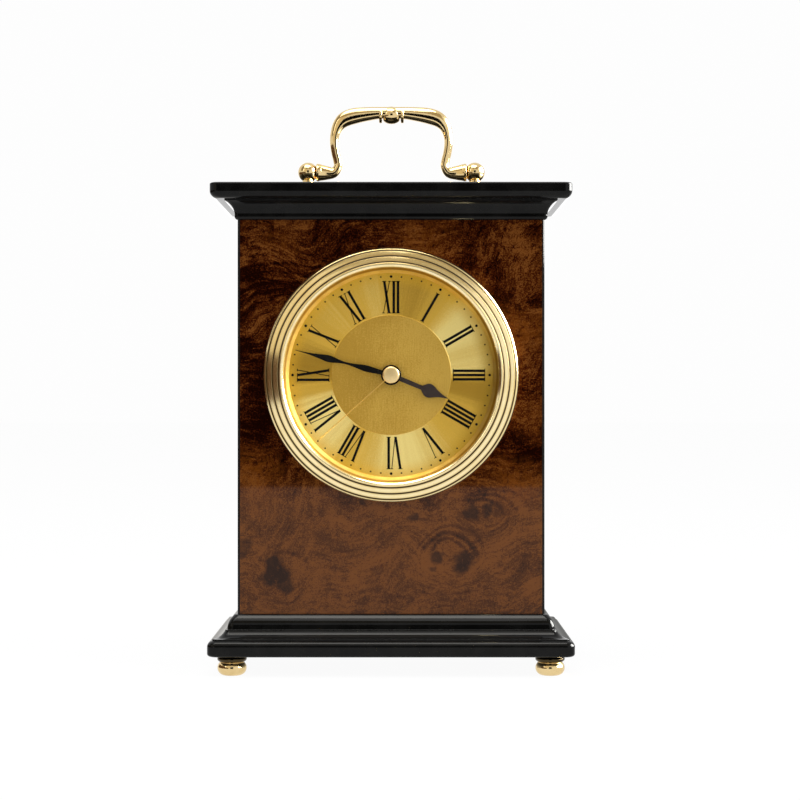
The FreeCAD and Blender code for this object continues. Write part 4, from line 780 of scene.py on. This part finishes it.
# Pieces that follow the CAD shape, by slot, with the ease of their edges.
dressedNodes = {
    "black_lacquer": {"front_panel": 0, "left_side": 0.3, "right_side": 0.3},
    "burl": {"burl_veneer": 0},
    "plain_wood": {"corner_blocks": 0.2, "door_stop": 0.2},
    "steel": {"handle_washers": 0.15, "handle_nuts": 0.15, "hinge_pins": 0.1, "door_magnet": 0.1,
              "door_strike": 0.05, "battery_contacts": 0},
    "black_plastic": {"insert_cup": 0, "movement_case": 0.2, "movement_cover": 0.15},
    "black_rubber": {"grip_band": 0},
    "black_stain": {"back_panel": 0.3, "back_door": 0.4},
    "polished_brass": {"hinge_leaves_frame": 0.12, "hinge_leaves_door": 0.12},
    "cell_wrap": {"battery_cell": 0.25},
    "white_plastic": {"setting_knob": 0.2},
}
for slotName, group in dressedNodes.items():
    for node, ease in group.items():
        dressNode(node, slotName, ease)
print("plain pieces made")


# Moulded boards: the round of the corners, and (reach beyond the case body, height) from bottom to top.
mouldings = {
    "halfWidth": 62,
    "halfDepth": 33,
    "edgeEase": 0.22,
    "arcSteps": 12,
    "cornerSteps": 8,
    "boards": {
        "top_board": (3.0, ((7.6, 191.3), (10.5, 194.2, 2.9), (10.5, 196.8), (9.7, 197.6, 0.8))),
        "cornice_moulding": (1.4, ((0, 183.3), (1.2, 184.6, 1.4), (5, 190.8, -6), (5, 191.3))),
        "plinth_moulding": (2.4, ((9.6, 14.6), (9.6, 15.1), (4.8, 17.9, -5.2), (4.8, 18.3), (4.0, 18.3),
                                  (1.85, 23.45, 7), (1.35, 24.05), (0.9, 24.3))),
        "plinth_board": (3.2, ((10.1, 8), (11.5, 9.4, 1.4), (11.5, 12), (8.9, 14.6, 2.6))),
    },
}


def mouldedBoard(corner, profile):
    loops = []
    for reach, height in eased(outline(profile, mouldings["arcSteps"]), mouldings["edgeEase"]):
        across = mouldings["halfWidth"] + reach - corner
        deep = mouldings["halfDepth"] + reach - corner
        loop = []
        for quarter, (signX, signY) in enumerate(((1, 1), (-1, 1), (-1, -1), (1, -1))):
            for step in range(mouldings["cornerSteps"] + 1):
                angle = math.pi / 2 * (quarter + step / mouldings["cornerSteps"])
                loop.append((signX * across + corner * math.cos(angle),
                             signY * deep + corner * math.sin(angle), height))
        loops.append(loop)
    return lofted(loops)


for node, (corner, profile) in mouldings["boards"].items():
    makePiece(node, mouldedBoard(corner, profile), "black_lacquer")
print("moulded boards made")


# Bun feet: (radius, height).
bunFoot = {
    "profile": ((0, 0), (3.6, 0), (5.9, 2.9, 2.978), (4.9, 5.2, 3.145), (5.5, 5.7), (5.5, 7.4, 1), (4.9, 8),
                (2, 8), (2, 13), (0, 13)),
    "ease": 0.18,
    "spots": {"foot_front_left": (-64, -35), "foot_front_right": (64, -35),
              "foot_rear_left": (-64, 35), "foot_rear_right": (64, 35)},
}
for node, spot in bunFoot["spots"].items():
    profile = eased(outline(bunFoot["profile"], 10), bunFoot["ease"])
    makePiece(node, turned(profile, "z", (*spot, 0)), "polished_brass", shadedFootBrass)
print("feet made")


# Handle posts: flange, neck and stud upright, and a ball bored for the handle's pin.
handlePost = {
    "spread": 35,
    "pivotHeight": 206.2,
    "ballRadius": 4.2,
    "ballSteps": 28,
    "boreRadius": 1.55,
    "boreDepth": 0.7,
    "stem": ((0, 178.3), (2, 178.3), (2, 197.6), (5, 197.6), (4.9, 198.1), (3.2, 198.7), (2.4, 199.4),
             (2.4, 203.2), (0, 203.2)),
    "stemEase": 0.25,
    "boreEase": 0.15,
    "around": 48,
}


def postShape(sign):
    ball = handlePost["ballRadius"]
    bore = handlePost["boreRadius"]
    out = sign * handlePost["spread"]
    stem = turned(eased(handlePost["stem"], handlePost["stemEase"]), "z", (out, 0, 0), handlePost["around"])
    mouth = math.acos(bore / ball)
    profile = [(0, handlePost["boreDepth"]), (bore, handlePost["boreDepth"])]
    for step in range(handlePost["ballSteps"] + 1):
        angle = mouth + (-math.pi / 2 - mouth) * step / handlePost["ballSteps"]
        profile.append((ball * math.cos(angle), -ball * math.sin(angle)))
    profile = [(radius, along * sign) for radius, along in eased(profile, handlePost["boreEase"])]
    return together(stem, turned(profile, "x", (out, 0, handlePost["pivotHeight"]), handlePost["around"]))


makePiece("handle_post_left", postShape(-1), "polished_brass")
makePiece("handle_post_right", postShape(1), "polished_brass")


# Handle: sections from foot to middle as distance out, height, half thickness and half depth, in shares of
# footReach, rise and depth. Turned trims are (radius, distance from the middle).
handle = {
    "footReach": 30.5,
    "rise": 27.5,
    "depth": 6,
    "pivotHeight": 206.2,
    "sections": (
        (1.000, 0.000, 0.600, 0.600), (0.905, -0.007, 0.500, 0.510), (0.795, 0.000, 0.375, 0.450),
        (0.738, 0.085, 0.310, 0.420), (0.744, 0.180, 0.300, 0.420), (0.770, 0.300, 0.300, 0.430),
        (0.787, 0.455, 0.310, 0.450), (0.774, 0.588, 0.340, 0.465), (0.730, 0.712, 0.430, 0.480),
        (0.650, 0.806, 0.530, 0.490), (0.522, 0.860, 0.560, 0.490), (0.333, 0.892, 0.490, 0.490),
        (0.150, 0.909, 0.420, 0.490), (0.000, 0.909, 0.420, 0.490),
    ),
    "ringPoints": 48,
    "between": 6,
    "ridge": -0.2,
    "flatness": 0.5,
    "fullness": 0.86,
    "beadRise": 24,
    "bead": ((2.4, -3.4), (2.4, 3.4, 5.096)),
    "beadEase": 0.3,
    "collar": ((0, 3.9), (3.3, 3.9), (3.3, 5.2), (0, 5.2)),
    "collarEase": 0.5,
    "footRim": ((0, 29.4), (3.3, 29.4), (3.68, 30.5), (3.75, 31.1), (3.6, 31.5), (3.3, 31.5), (2.6, 30.6),
                (0, 30.4)),
    "rimEase": 0.15,
    "pin": ((0, 29), (1.5, 29), (1.5, 35.6), (0, 35.6)),
    "pinEase": 0.3,
    "pinAround": 32,
}


# Cubic terms that weigh four neighbouring rows on a smooth curve.
splineTerms = ((-1, 2, -1, 0), (3, -5, 0, 2), (-3, 4, 1, 0), (1, -1, 0, 0))


def throughPoints(rows, between):  # smooth curve through rows of numbers
    result = []
    for index in range(len(rows) - 1):
        four = [rows[max(0, min(len(rows) - 1, index + shift))] for shift in (-1, 0, 1, 2)]
        for step in range(between):
            share = step / between
            weights = [(a * share ** 3 + b * share ** 2 + c * share + d) / 2 for a, b, c, d in splineTerms]
            result.append([sum(weight * value for weight, value in zip(weights, column))
                           for column in zip(*four)])
    result.append(list(rows[-1]))
    return result


def handleSweep():
    units = (handle["footReach"], handle["rise"], handle["depth"], handle["depth"])
    half = [[share * unit for share, unit in zip(section, units)] for section in handle["sections"]]
    half = throughPoints(half, handle["between"])
    rows = [[-row[0], *row[1:]] for row in half] + half[-2::-1]
    ridge = handle["ridge"]
    lowest = ridge - (1 + ridge) * handle["flatness"]
    loops = []
    for index, (out, up, thick, deep) in enumerate(rows):
        before = Vector(rows[max(index - 1, 0)][:2])
        after = Vector(rows[min(index + 1, len(rows) - 1)][:2])
        along = (after - before).normalized()
        if index in (0, len(rows) - 1):
            along = Vector((1, 0))
        outside = Vector((-along.y, along.x))
        loop = []
        for point in range(handle["ringPoints"]):
            angle = 2 * math.pi * point / handle["ringPoints"]
            lift = math.cos(angle)
            spread = math.sin(angle)
            if lift < ridge:  # the inner face is flatter, with a ridge at each side
                lift = ridge + (lift - ridge) * handle["flatness"]
            lift = (lift - lowest) / (1 - lowest) * 2 - 1
            spread = math.copysign(abs(spread) ** handle["fullness"], spread)
            spot = Vector((out, up)) + outside * lift * thick
            loop.append((spot.x, spread * deep, spot.y + handle["pivotHeight"]))
        loops.append(loop)
    return lofted(loops)


def handleTurnings():
    pivot = (0, 0, handle["pivotHeight"])
    middle = (0, 0, handle["pivotHeight"] + handle["beadRise"])
    around = handle["ringPoints"]
    bead = outline(handle["bead"], 10)
    bead = [(0, bead[0][1]), *bead, (0, bead[-1][1])]
    shapes = [turned(eased(bead, handle["beadEase"]), "x", middle, around)]
    for sign in (-1, 1):
        for trim, ease, centre, count in (("collar", "collarEase", middle, around),
                                          ("footRim", "rimEase", pivot, around),
                                          ("pin", "pinEase", pivot, handle["pinAround"])):
            profile = [(radius, along * sign) for radius, along in handle[trim]]
            shapes.append(turned(eased(profile, handle[ease]), "x", centre, count))
    return shapes


makePiece("handle_bail", together(handleSweep(), *handleTurnings()), "polished_brass", sharp=50)
print("handle made")


# Clock insert, turned round the dial's axis: (radius, depth behind the face of the case).
insert = {
    "bezel": {
        "slot": "polished_brass", "finish": turnedBrass, "ease": 0.1, "around": 240, "sharp": 55,
        "profile": ((43.4, -3.9), (43.4, -4.25), (44.3, -4.87, 2.5), (45.15, -4.6, 1.6), (45.35, -4.1),
                    (45.65, -4.52), (47.55, -3.85, 16), (47.8, -3.3), (48.05, -3.72), (49.9, -3.06, 16),
                    (50.15, -2.5), (50.4, -2.85), (51.5, -1.6, 1.9), (51.5, 0), (50, 0), (50, -1.6),
                    (44.6, -1.6), (44.6, -3.9), (43.4, -3.9)),
    },
    "dial_ring": {
        "slot": "gilt", "finish": ringGilt, "ease": 0.12, "around": 192, "sharp": 40,
        "profile": ((43.6, -2.4), (44.6, -2.4), (44.6, 2.5), (41.3, 2.5), (43.6, -2.4)),
    },
    "crystal": {
        "slot": "clear_glass", "finish": None, "ease": 0.25, "around": 128, "sharp": 40,
        "profile": ((0, -3.9), (44.5, -3.9), (44.5, -2.4), (0, -2.4)),
    },
    "dial": {
        "slot": "gilt", "finish": None, "ease": 0, "around": 192, "sharp": 8,
        "profile": ((3.1, 3.0), (3.1, 2.3), (24.05, 2.3), (24.45, 2.5), (44.6, 2.5), (44.6, 3.0),
                    (3.1, 3.0)),
    },
}
for node, values in insert.items():
    profile = eased(outline(values["profile"], 12), values["ease"])
    shape = turned(profile, "y", dialAxis, values["around"])
    makePiece(node, shape, values["slot"], values["finish"], values["sharp"])
dialFront = dialAxis[1] + insert["dial"]["profile"][4][1]
print("insert made")


# Printed hour numerals, their feet towards the middle of the dial. A letter has strokes as (foot, head,
# thickness) and serifs as (middle, half width, 1 at the top); pairs have the step to the next letter.
numerals = {
    "inner": 25.0,
    "height": 13.1,
    "thick": 1.05,
    "thin": 0.33,
    "serif": 0.30,
    "lift": 0.03,
    "letters": {
        "I": (((0, 0, "thick"),), ((0, 0.86, 0), (0, 0.86, 1))),
        "V": (((0, -2.0, "thick"), (0.2, 1.5, "thin")), ((-2.0, 0.86, 1), (1.5, 0.55, 1))),
        "X": (((1.0, -1.0, "thick"), (-1.3, 1.15, "thin")),
              ((1.0, 0.86, 0), (-1.3, 0.55, 0), (-1.0, 0.86, 1), (1.15, 0.55, 1))),
    },
    "pairs": {"II": 1.72, "IX": 2.87, "VI": 2.76, "XI": 2.87},
    "aside": {"V": -0.8, "VI": -1.4, "VII": -0.7},
    "hours": ("XII", "I", "II", "III", "IIII", "V", "VI", "VII", "VIII", "IX", "X", "XI"),
}


# A point at a distance out and sideways, in a direction of the dial.
def onDial(angle, out, aside, depth):
    return (math.sin(angle) * out + math.cos(angle) * aside, depth,
            dialAxis[2] + math.cos(angle) * out - math.sin(angle) * aside)


def strokesOf(hour):  # corners of each stroke as (along the writing, outwards)
    strokes = []
    place = 0

    def stroke(foot, head, half, low, high):
        strokes.append([(place + foot - half, low), (place + foot + half, low),
                        (place + head + half, high), (place + head - half, high)])

    for index, letter in enumerate(hour):
        slants, serifs = numerals["letters"][letter]
        for foot, head, width in slants:
            stroke(foot, head, numerals[width] / 2, 0, numerals["height"])
        for middle, half, top in serifs:
            low = top * (numerals["height"] - numerals["serif"])
            stroke(middle, middle, half, low, low + numerals["serif"])
        place += numerals["pairs"].get(hour[index:index + 2], 0)
    return strokes


def numeralShape(hour, angle):
    strokes = strokesOf(hour)
    spans = [corner[0] for stroke in strokes for corner in stroke]
    middle = (min(spans) + max(spans)) / 2 - numerals["aside"].get(hour, 0)
    return together(*[
        lofted([[onDial(angle, out + numerals["inner"], along - middle, depth) for along, out in stroke]
                for depth in (dialFront - numerals["lift"], dialFront)]) for stroke in strokes])


hourShapes = [numeralShape(hour, math.pi / 6 * index) for index, hour in enumerate(numerals["hours"])]
makePiece(None, together(*hourShapes), "black_enamel", sharp=20, name="hourNumerals", body="case")


# Geometry Nodes: a new tree with a geometry output and named inputs.
def startTree(name, inputs):
    tree = bpy.data.node_groups.new(name, "GeometryNodeTree")
    tree.interface.new_socket("Geometry", in_out="OUTPUT", socket_type="NodeSocketGeometry")
    identifiers = {}
    for label, kind in inputs.items():
        socket = tree.interface.new_socket(label, in_out="INPUT", socket_type="NodeSocket" + kind)
        identifiers[label] = socket.identifier
    source = tree.nodes.new("NodeGroupInput")
    return tree, identifiers, {label: Wire(tree, source.outputs[label]) for label in inputs}


def endTree(shape, material):
    solid = shape.node("GeometryNodeRealizeInstances", {"Geometry": shape})
    dressed = shape.node("GeometryNodeSetMaterial", {"Geometry": solid, "Material": material})
    shape.node("NodeGroupOutput", {0: dressed})


# Runs a tree on some points and keeps the result as a plain mesh.
def grown(name, tree, identifiers, values, sharp, points=()):
    mesh = bpy.data.meshes.new(name + "Points")
    mesh.from_pydata([[value * mm for value in point] for point in points], [], [])
    holder = linked(name + "Points", mesh)
    modifier = holder.modifiers.new(name, "NODES")
    modifier.node_group = tree
    for label, value in values.items():
        modifier[identifiers[label]] = value
    result = baked(holder, name)
    settle(result, sharp)
    return result


# Cylinders on a ring round the Y axis; every fifth one has a size of its own.
def makeRingTree():
    tree, identifiers, sockets = startTree("ring of cylinders", {
        "Count": "Int", "Ring radius": "Float", "Size": "Float", "Fifth size": "Float", "Length": "Float",
        "Sides": "Int", "Middle": "Vector", "Finish": "Material",
    })
    wire = Wire(tree)
    upright = (math.pi / 2, 0, 0)
    ring = wire.node("GeometryNodeMeshCircle", {
        "Vertices": sockets["Count"], "Radius": sockets["Ring radius"],
    })
    ring = wire.node("GeometryNodeTransform", {
        "Geometry": ring, "Translation": sockets["Middle"], "Rotation": upright,
    })
    number = wire.node("GeometryNodeInputIndex")
    fifth = number.maths("LESS_THAN", number.maths("MODULO", number, 5), 0.5)
    size = sockets["Size"] + fifth * (sockets["Fifth size"] - sockets["Size"])
    rod = wire.node("GeometryNodeMeshCylinder", {
        "Vertices": sockets["Sides"], "Radius": 1.0, "Depth": sockets["Length"],
    })
    endTree(wire.node("GeometryNodeInstanceOnPoints", {
        "Points": ring, "Instance": rod, "Rotation": upright, "Scale": wire.joined(size, size, 1.0),
    }), sockets["Finish"])
    return tree, identifiers


ringTree = makeRingTree()


minuteTrack = {
    "Count": 60, "Ring radius": 39.9 * mm, "Size": 0.34 * mm, "Fifth size": 0.55 * mm, "Length": 0.03 * mm,
    "Sides": 16, "Finish": finishes["black_enamel"],
}
minuteTrack["Middle"] = (0.0, dialFront * mm - minuteTrack["Length"] / 2, dialAxis[2] * mm)
dotMesh = grown("minuteTrack", *ringTree, minuteTrack, 30)
addPiece(None, dotMesh, "black_enamel", name="minuteTrack", body="case")
print("dial printed")


# Hands: (distance from the dial's axis, half width) from the hub to the point, drawn out to the CAD length.
hands = {
    "hour_hand": {
        "angle": 112.5, "hub": 4.1, "hubDepth": 0.8, "slot": "black_enamel", "finish": hourReflectionEnamel,
        "profile": ((3, 0.95), (8, 0.92), (12.6, 0.9), (13.3, 1.15), (14.0, 1.8), (14.9, 2.48), (15.8, 2.8),
                    (16.8, 2.72), (17.8, 2.32), (19, 1.66), (20.4, 1.06), (21.6, 0.64), (22.8, 0.38),
                    (24.2, 0.1)),
    },
    "minute_hand": {
        "angle": 284.6, "hub": 4.05, "hubDepth": 0.8, "slot": "black_enamel", "finish": None,
        "profile": ((3, 0.85), (5.5, 1.0), (8, 1.2), (10.5, 1.28), (12.2, 1.15), (14, 0.88), (16, 0.62),
                    (18.2, 0.48), (20.2, 0.5), (22, 0.75), (23.6, 1.05), (25.2, 1.32), (26.6, 1.38),
                    (28, 1.2), (30, 0.88), (32, 0.62), (34, 0.38), (36.5, 0.22), (40, 0.1)),
    },
    "second_hand": {
        "angle": 228.1, "hub": 3.0, "hubDepth": 0.45, "slot": "polished_brass", "finish": secondGilt,
        "profile": ((2, 0.24), (10, 0.22), (22, 0.19), (34, 0.15)),
    },
}
handEdge = {"ease": 0.09, "hubEase": 0.1, "between": 5}
secondCap = {"profile": ((0, -34.3), (3.3, -34.3), (3.42, -34.65), (2.5, -35.16, -1.3), (0, -35.34, -17.5))}
dialMiddle = (0, 0, dialAxis[2])


def handShape(node, values):
    spots = [vertex.co / mm for vertex in nodes[node].data.vertices]
    away = [math.hypot(spot.x, spot.z - dialAxis[2]) for spot in spots]
    stretch = max(away) / values["profile"][-1][0]
    depths = [spot.y for spot, far in zip(spots, away) if far > max(away) * 0.5]
    front = min(depths)
    back = max(depths)
    edge = front + handEdge["ease"]
    loops = []
    for far, half in throughPoints(values["profile"], handEdge["between"]):
        inset = half - min(handEdge["ease"], half * 0.5)
        section = ((half, back), (half, edge), (inset, front), (-inset, front), (-half, edge), (-half, back))
        loops.append([onDial(math.radians(values["angle"]), far * stretch, across, depth)
                      for across, depth in section])
    bore = min(away)
    hub = values["hub"]
    face = back - values["hubDepth"]
    ring = eased([(bore, back), (hub, back), (hub, face), (bore, face), (bore, back)], handEdge["hubEase"])
    return together(lofted(loops), turned(ring, "y", dialMiddle))


for node, values in hands.items():
    makePiece(node, handShape(node, values), values["slot"], values["finish"], 30)
capShape = turned(eased(outline(secondCap["profile"]), 0.1), "y", dialMiddle)
makePiece(None, capShape, "polished_brass", capBrass, name="secondCap", body="second_hand")
print("hands made")


# Knob of the back door: (radius, distance from the door).
doorKnob = {
    "spot": (-31.2, 32, 112),
    "profile": ((0, -3), (1.5, -3), (1.5, 0), (3, 0), (2, 3, -3), (4, 5.5, 3), (2.2, 8, 4.6), (0, 8)),
    "ease": 0.25,
}
knobProfile = eased(outline(doorKnob["profile"], 10), doorKnob["ease"])
makePiece("door_knob", turned(knobProfile, "y", doorKnob["spot"]), "polished_brass")

# Countersunk screws with a cross recess, set by Geometry Nodes.
hingeScrew = {"head": 1.5, "shank": 0.8, "sink": 0.7, "length": 4.4, "facing": (-90, 0, 0)}
hingeHeights = (74.5, 85.5, 138.5, 149.5)
screws = {
    "hingeFrame": {**hingeScrew, "node": "hinge_screws_frame", "seed": 4,
                   "spots": [(46.6, 32.9, height) for height in hingeHeights]},
    "hingeDoor": {**hingeScrew, "node": "hinge_screws_door", "seed": 9,
                  "spots": [(34.6, 32.9, height) for height in hingeHeights]},
    "plinth": {"node": "plinth_screws", "head": 3.2, "shank": 1.7, "sink": 2.0, "length": 28,
               "facing": (180, 0, 0), "seed": 2,
               "spots": [(across, along, 8) for across in (-57.5, 57.5) for along in (-18, 18)]},
    "cover": {"node": "cover_screws", "head": 2.0, "shank": 1.0, "sink": 0.9, "length": 6,
              "facing": (-90, 0, 0), "seed": 6,
              "spots": [(across, -12.5, height) for across in (-24, 24) for height in (112.7, 135.2)]},
}
screwForm = {
    "around": 32, "depth": 0.32, "arm": 0.13, "reach": 0.62, "taper": 0.8, "body": 0.85, "point": 0.25,
}


def screwMesh(name, values):  # top at the origin, facing +Z, with a sunk cross in the head
    form = bmesh.new()
    head = values["head"]
    arm = head * screwForm["arm"]
    reach = head * screwForm["reach"]
    turns = [2 * math.pi * index / screwForm["around"] for index in range(screwForm["around"])]
    circle = [(math.cos(angle), math.sin(angle)) for angle in turns]
    cross = [(arm, arm), (reach, arm), (reach, -arm), (arm, -arm), (arm, -reach), (-arm, -reach),
             (-arm, -arm), (-reach, -arm), (-reach, arm), (-arm, arm), (-arm, reach), (arm, reach)]

    def loopAt(points, size, level):
        return [form.verts.new((x * size * mm, y * size * mm, level * mm)) for x, y in points]

    def bridge(first, second):
        for index in range(len(first)):
            form.faces.new((first[index - 1], first[index], second[index], second[index - 1]))

    ring = loopAt(circle, head, 0)
    lip = loopAt(cross, 1, 0)
    bottom = loopAt(cross, screwForm["taper"], -head * screwForm["depth"])
    edges = []
    for loop in (ring, lip):
        edges += [form.edges.new((loop[index - 1], loop[index])) for index in range(len(loop))]
    bmesh.ops.triangle_fill(form, use_beauty=True, use_dissolve=False, edges=edges)
    inside = [face for face in form.faces if all(vertex in lip for vertex in face.verts)]
    bmesh.ops.delete(form, geom=inside, context="FACES_ONLY")
    bridge(lip, bottom)
    form.faces.new(bottom)
    shank = values["shank"]
    levels = ((shank, values["sink"]), (shank, values["length"] * screwForm["body"]),
              (shank * screwForm["point"], values["length"]))
    for radius, depth in levels:
        lower = loopAt(circle, radius, -depth)
        bridge(ring, lower)
        ring = lower
    form.faces.new(ring)
    bmesh.ops.recalc_face_normals(form, faces=form.faces)
    mesh = bpy.data.meshes.new(name)
    form.to_mesh(mesh)
    form.free()
    return mesh


def makeScrewTree():
    tree, identifiers, sockets = startTree("set screws", {
        "Points": "Geometry", "Screw": "Object", "Facing": "Vector", "Seed": "Int", "Finish": "Material",
    })
    wire = Wire(tree)
    screw = wire.node("GeometryNodeObjectInfo", {"Object": sockets["Screw"]}, "Geometry")
    placed = wire.node("GeometryNodeInstanceOnPoints", {
        "Points": sockets["Points"], "Instance": screw, "Rotation": sockets["Facing"],
    })
    turns = {2: 0.0, 3: math.pi, 8: sockets["Seed"]}
    spin = wire.node("FunctionNodeRandomValue", turns, 1, data_type="FLOAT")
    placed = wire.node("GeometryNodeRotateInstances", {
        "Instances": placed, "Rotation": wire.joined(0.0, 0.0, spin), "Local Space": True,
    })
    endTree(placed, sockets["Finish"])
    return tree, identifiers


screwTree = makeScrewTree()
for label, values in screws.items():
    sample = linked(label + "Sample", screwMesh(label + "Sample", values))
    screwSet = grown(label + "Screws", *screwTree, {
        "Screw": sample,
        "Facing": [math.radians(angle) for angle in values["facing"]],
        "Seed": values["seed"],
        "Finish": finishes["steel"],
    }, 30, values["spots"])
    bpy.data.objects.remove(sample)
    addPiece(values["node"], screwSet, "steel", name=label + "Screws")
print("door knob and screws made")


# Ribs of the setting knob.
knobRibs = {
    "Count": 26, "Ring radius": 4.3 * mm, "Size": 0.24 * mm, "Fifth size": 0.24 * mm, "Length": 2.4 * mm,
    "Sides": 10, "Middle": (-11.04 * mm, -10.8 * mm, 120.7 * mm), "Finish": finishes["white_plastic"],
}
ribMesh = grown("settingKnobRibs", *ringTree, knobRibs, 40)
addPiece(None, ribMesh, "white_plastic", name="settingKnobRibs", body=nodeBody["setting_knob"])

# Sealed pieces of the movement keep the CAD mesh.
hiddenFinish = {
    "white_plastic": ("train_bridge", "coil_bobbin", "seconds_wheel", "hour_wheel", "minute_wheel",
                      "centre_wheel", "third_wheel", "intermediate_wheel"),
    "steel": ("stator_core", "quartz_crystal", "movement_screws"),
    "copper_wire": ("coil_winding",),
    "board_laminate": ("circuit_board",),
    "polished_brass": ("cannon_pinion",),
    "black_plastic": ("rotor",),
}
for slotName, group in hiddenFinish.items():
    for node in group:
        nodes[node].data.materials.clear()
        nodes[node].data.materials.append(finishes[slotName])
print("movement dressed")


# Floor, room and light, in metres. A card is (middle, size, facing, tone), a lamp is (place, size, power).
room = {
    "floorHalf": 9,
    "floorDrop": 0.00002,
    "floorShare": 0.93,
    "floorGlow": 1.035,
    "floorTones": ((0.86, 0.86, 0.86, 1), (0.89, 0.89, 0.89, 1)),
    "white": (0.985, 0.985, 0.985, 1),
    "ambient": 0.5,
    "cards": {
        "frontCard": ((0, -1.75, 0.42), (0.72, 0.84), (0, 1, 0), (0.004, 0.004, 0.004, 1)),
        "leftCard": ((-0.56, -0.35, 0.115), (1.5, 0.23), (1, 0, 0), (0.115, 0.062, 0.034, 1)),
        "upperLeftCard": ((-1.5, -0.9, 1.5), (2.6, 1.9), (1.5, 0.9, -1.4), (0.34, 0.30, 0.24, 1)),
        "leftMidCard": ((-0.78, -1.28, 0.74), (1.0, 0.9), (0.78, 1.25, -0.6), (0.85, 0.75, 0.56, 1)),
        "frontUpperCard": ((-0.2, -1.2, 1.65), (2.6, 1.3), (0, 1.2, -1.45), (0.48, 0.41, 0.29, 1)),
        "rightStrip": ((1.6, 0.1, 0.93), (1.3, 1.3), (-1, 0, 0), (50, 50, 48, 1)),
        "overStrip": ((-0.05, -0.36, 1.4), (0.9, 0.26), (0, 0.25, -1.2), (11, 10.7, 10, 1)),
        "backCard": ((0, 0.85, 0.33), (0.6, 0.38), (0, -1, 0), (1.7, 1.7, 1.7, 1)),
        "backLowLeft": ((-0.16, 0.5, 0.055), (0.24, 0.11), (0, -1, 0), (0.8, 0.78, 0.75, 1)),
        "backLowRight": ((0.16, 0.5, 0.055), (0.24, 0.11), (0, -1, 0), (0.32, 0.32, 0.31, 1)),
        "floorLeft": ((-0.17, 0.29, 0.001), (0.22, 0.5), (0, 0, 1), (0.8, 0.78, 0.75, 1)),
        "floorRight": ((0.17, 0.29, 0.001), (0.22, 0.5), (0, 0, 1), (0.32, 0.32, 0.31, 1)),
    },
    "lamps": {
        "rightWindow": ((1.7, -0.75, 0.95), (0.7, 1.1), 16),
        "overhead": ((-0.25, -0.5, 1.7), (1.4, 1.1), 14),
        "leftFill": ((-1.3, -1.3, 1.1), (0.8, 0.8), 5),
    },
    "lampTarget": (0, 0, 0.11),
}


def flatPanel(name, halfWidth, halfHeight, material):
    mesh = bpy.data.meshes.new(name)
    corners = [(x * halfWidth, y * halfHeight, 0) for x, y in ((-1, -1), (1, -1), (1, 1), (-1, 1))]
    mesh.from_pydata(corners, [], [(0, 1, 2, 3)])
    mesh.materials.append(material)
    panel = linked(name, mesh)
    return panel


def seenRay(wire):  # 1 where the camera, a reflection or a glass sees the surface
    seen = 0.0
    for name in ("Is Camera Ray", "Is Glossy Ray", "Is Transmission Ray"):
        seen = wire.maths("MAXIMUM", wire.node("ShaderNodeLightPath", None, name), seen)
    return seen


material, place = startMaterial("pale floor")
pale = place.node("ShaderNodeBsdfDiffuse", {"Color": place.noise(0.02).mixed(*room["floorTones"])})
white = place.node("ShaderNodeEmission", {"Color": room["white"], "Strength": room["floorGlow"]})
share = seenRay(place) * room["floorShare"]
endMaterial(place, place.node("ShaderNodeMixShader", {0: share, 1: pale, 2: white}))
floor = flatPanel("floor", room["floorHalf"], room["floorHalf"], material)
floor.location.z = -room["floorDrop"]

for name, (middle, size, facing, tone) in room["cards"].items():
    material, place = startMaterial(name + " cloth")
    endMaterial(place, place.node("ShaderNodeEmission", {"Color": tone, "Strength": 1.0}))
    panel = flatPanel(name, size[0] / 2, size[1] / 2, material)
    panel.location = middle
    panel.rotation_euler = Vector(facing).to_track_quat("Z", "Y").to_euler()
    for ray in ("camera", "diffuse", "shadow", "transmission"):
        setattr(panel, "visible_" + ray, False)

for name, (place, size, power) in room["lamps"].items():
    lamp = bpy.data.lights.new(name, "AREA")
    lamp.shape = "RECTANGLE"
    lamp.size, lamp.size_y = size
    lamp.energy = power
    holder = linked(name, lamp)
    holder.location = place
    aim = Vector(room["lampTarget"]) - Vector(place)
    holder.rotation_euler = aim.to_track_quat("-Z", "Y").to_euler()
    holder.visible_camera = False

world = bpy.data.worlds.new("studio")
world.use_nodes = True
world.node_tree.nodes.clear()
wire = Wire(world.node_tree)
strength = room["ambient"] + seenRay(wire) * (1 - room["ambient"])
sky = wire.node("ShaderNodeBackground", {"Color": room["white"], "Strength": strength})
wire.node("ShaderNodeOutputWorld", {"Surface": sky})
scene.world = world
print("room lit")


view = {"place": (0.0036, -0.833, 0.1106), "lens": 89.2, "sensor": 36, "near": 0.01}
camera = bpy.data.cameras.new("camera")
camera.sensor_width = view["sensor"]
camera.lens = view["lens"]
camera.clip_start = view["near"]
cameraObject = linked("camera", camera)
cameraObject.location = view["place"]
cameraObject.rotation_euler = (math.pi / 2, 0, 0)
scene.camera = cameraObject
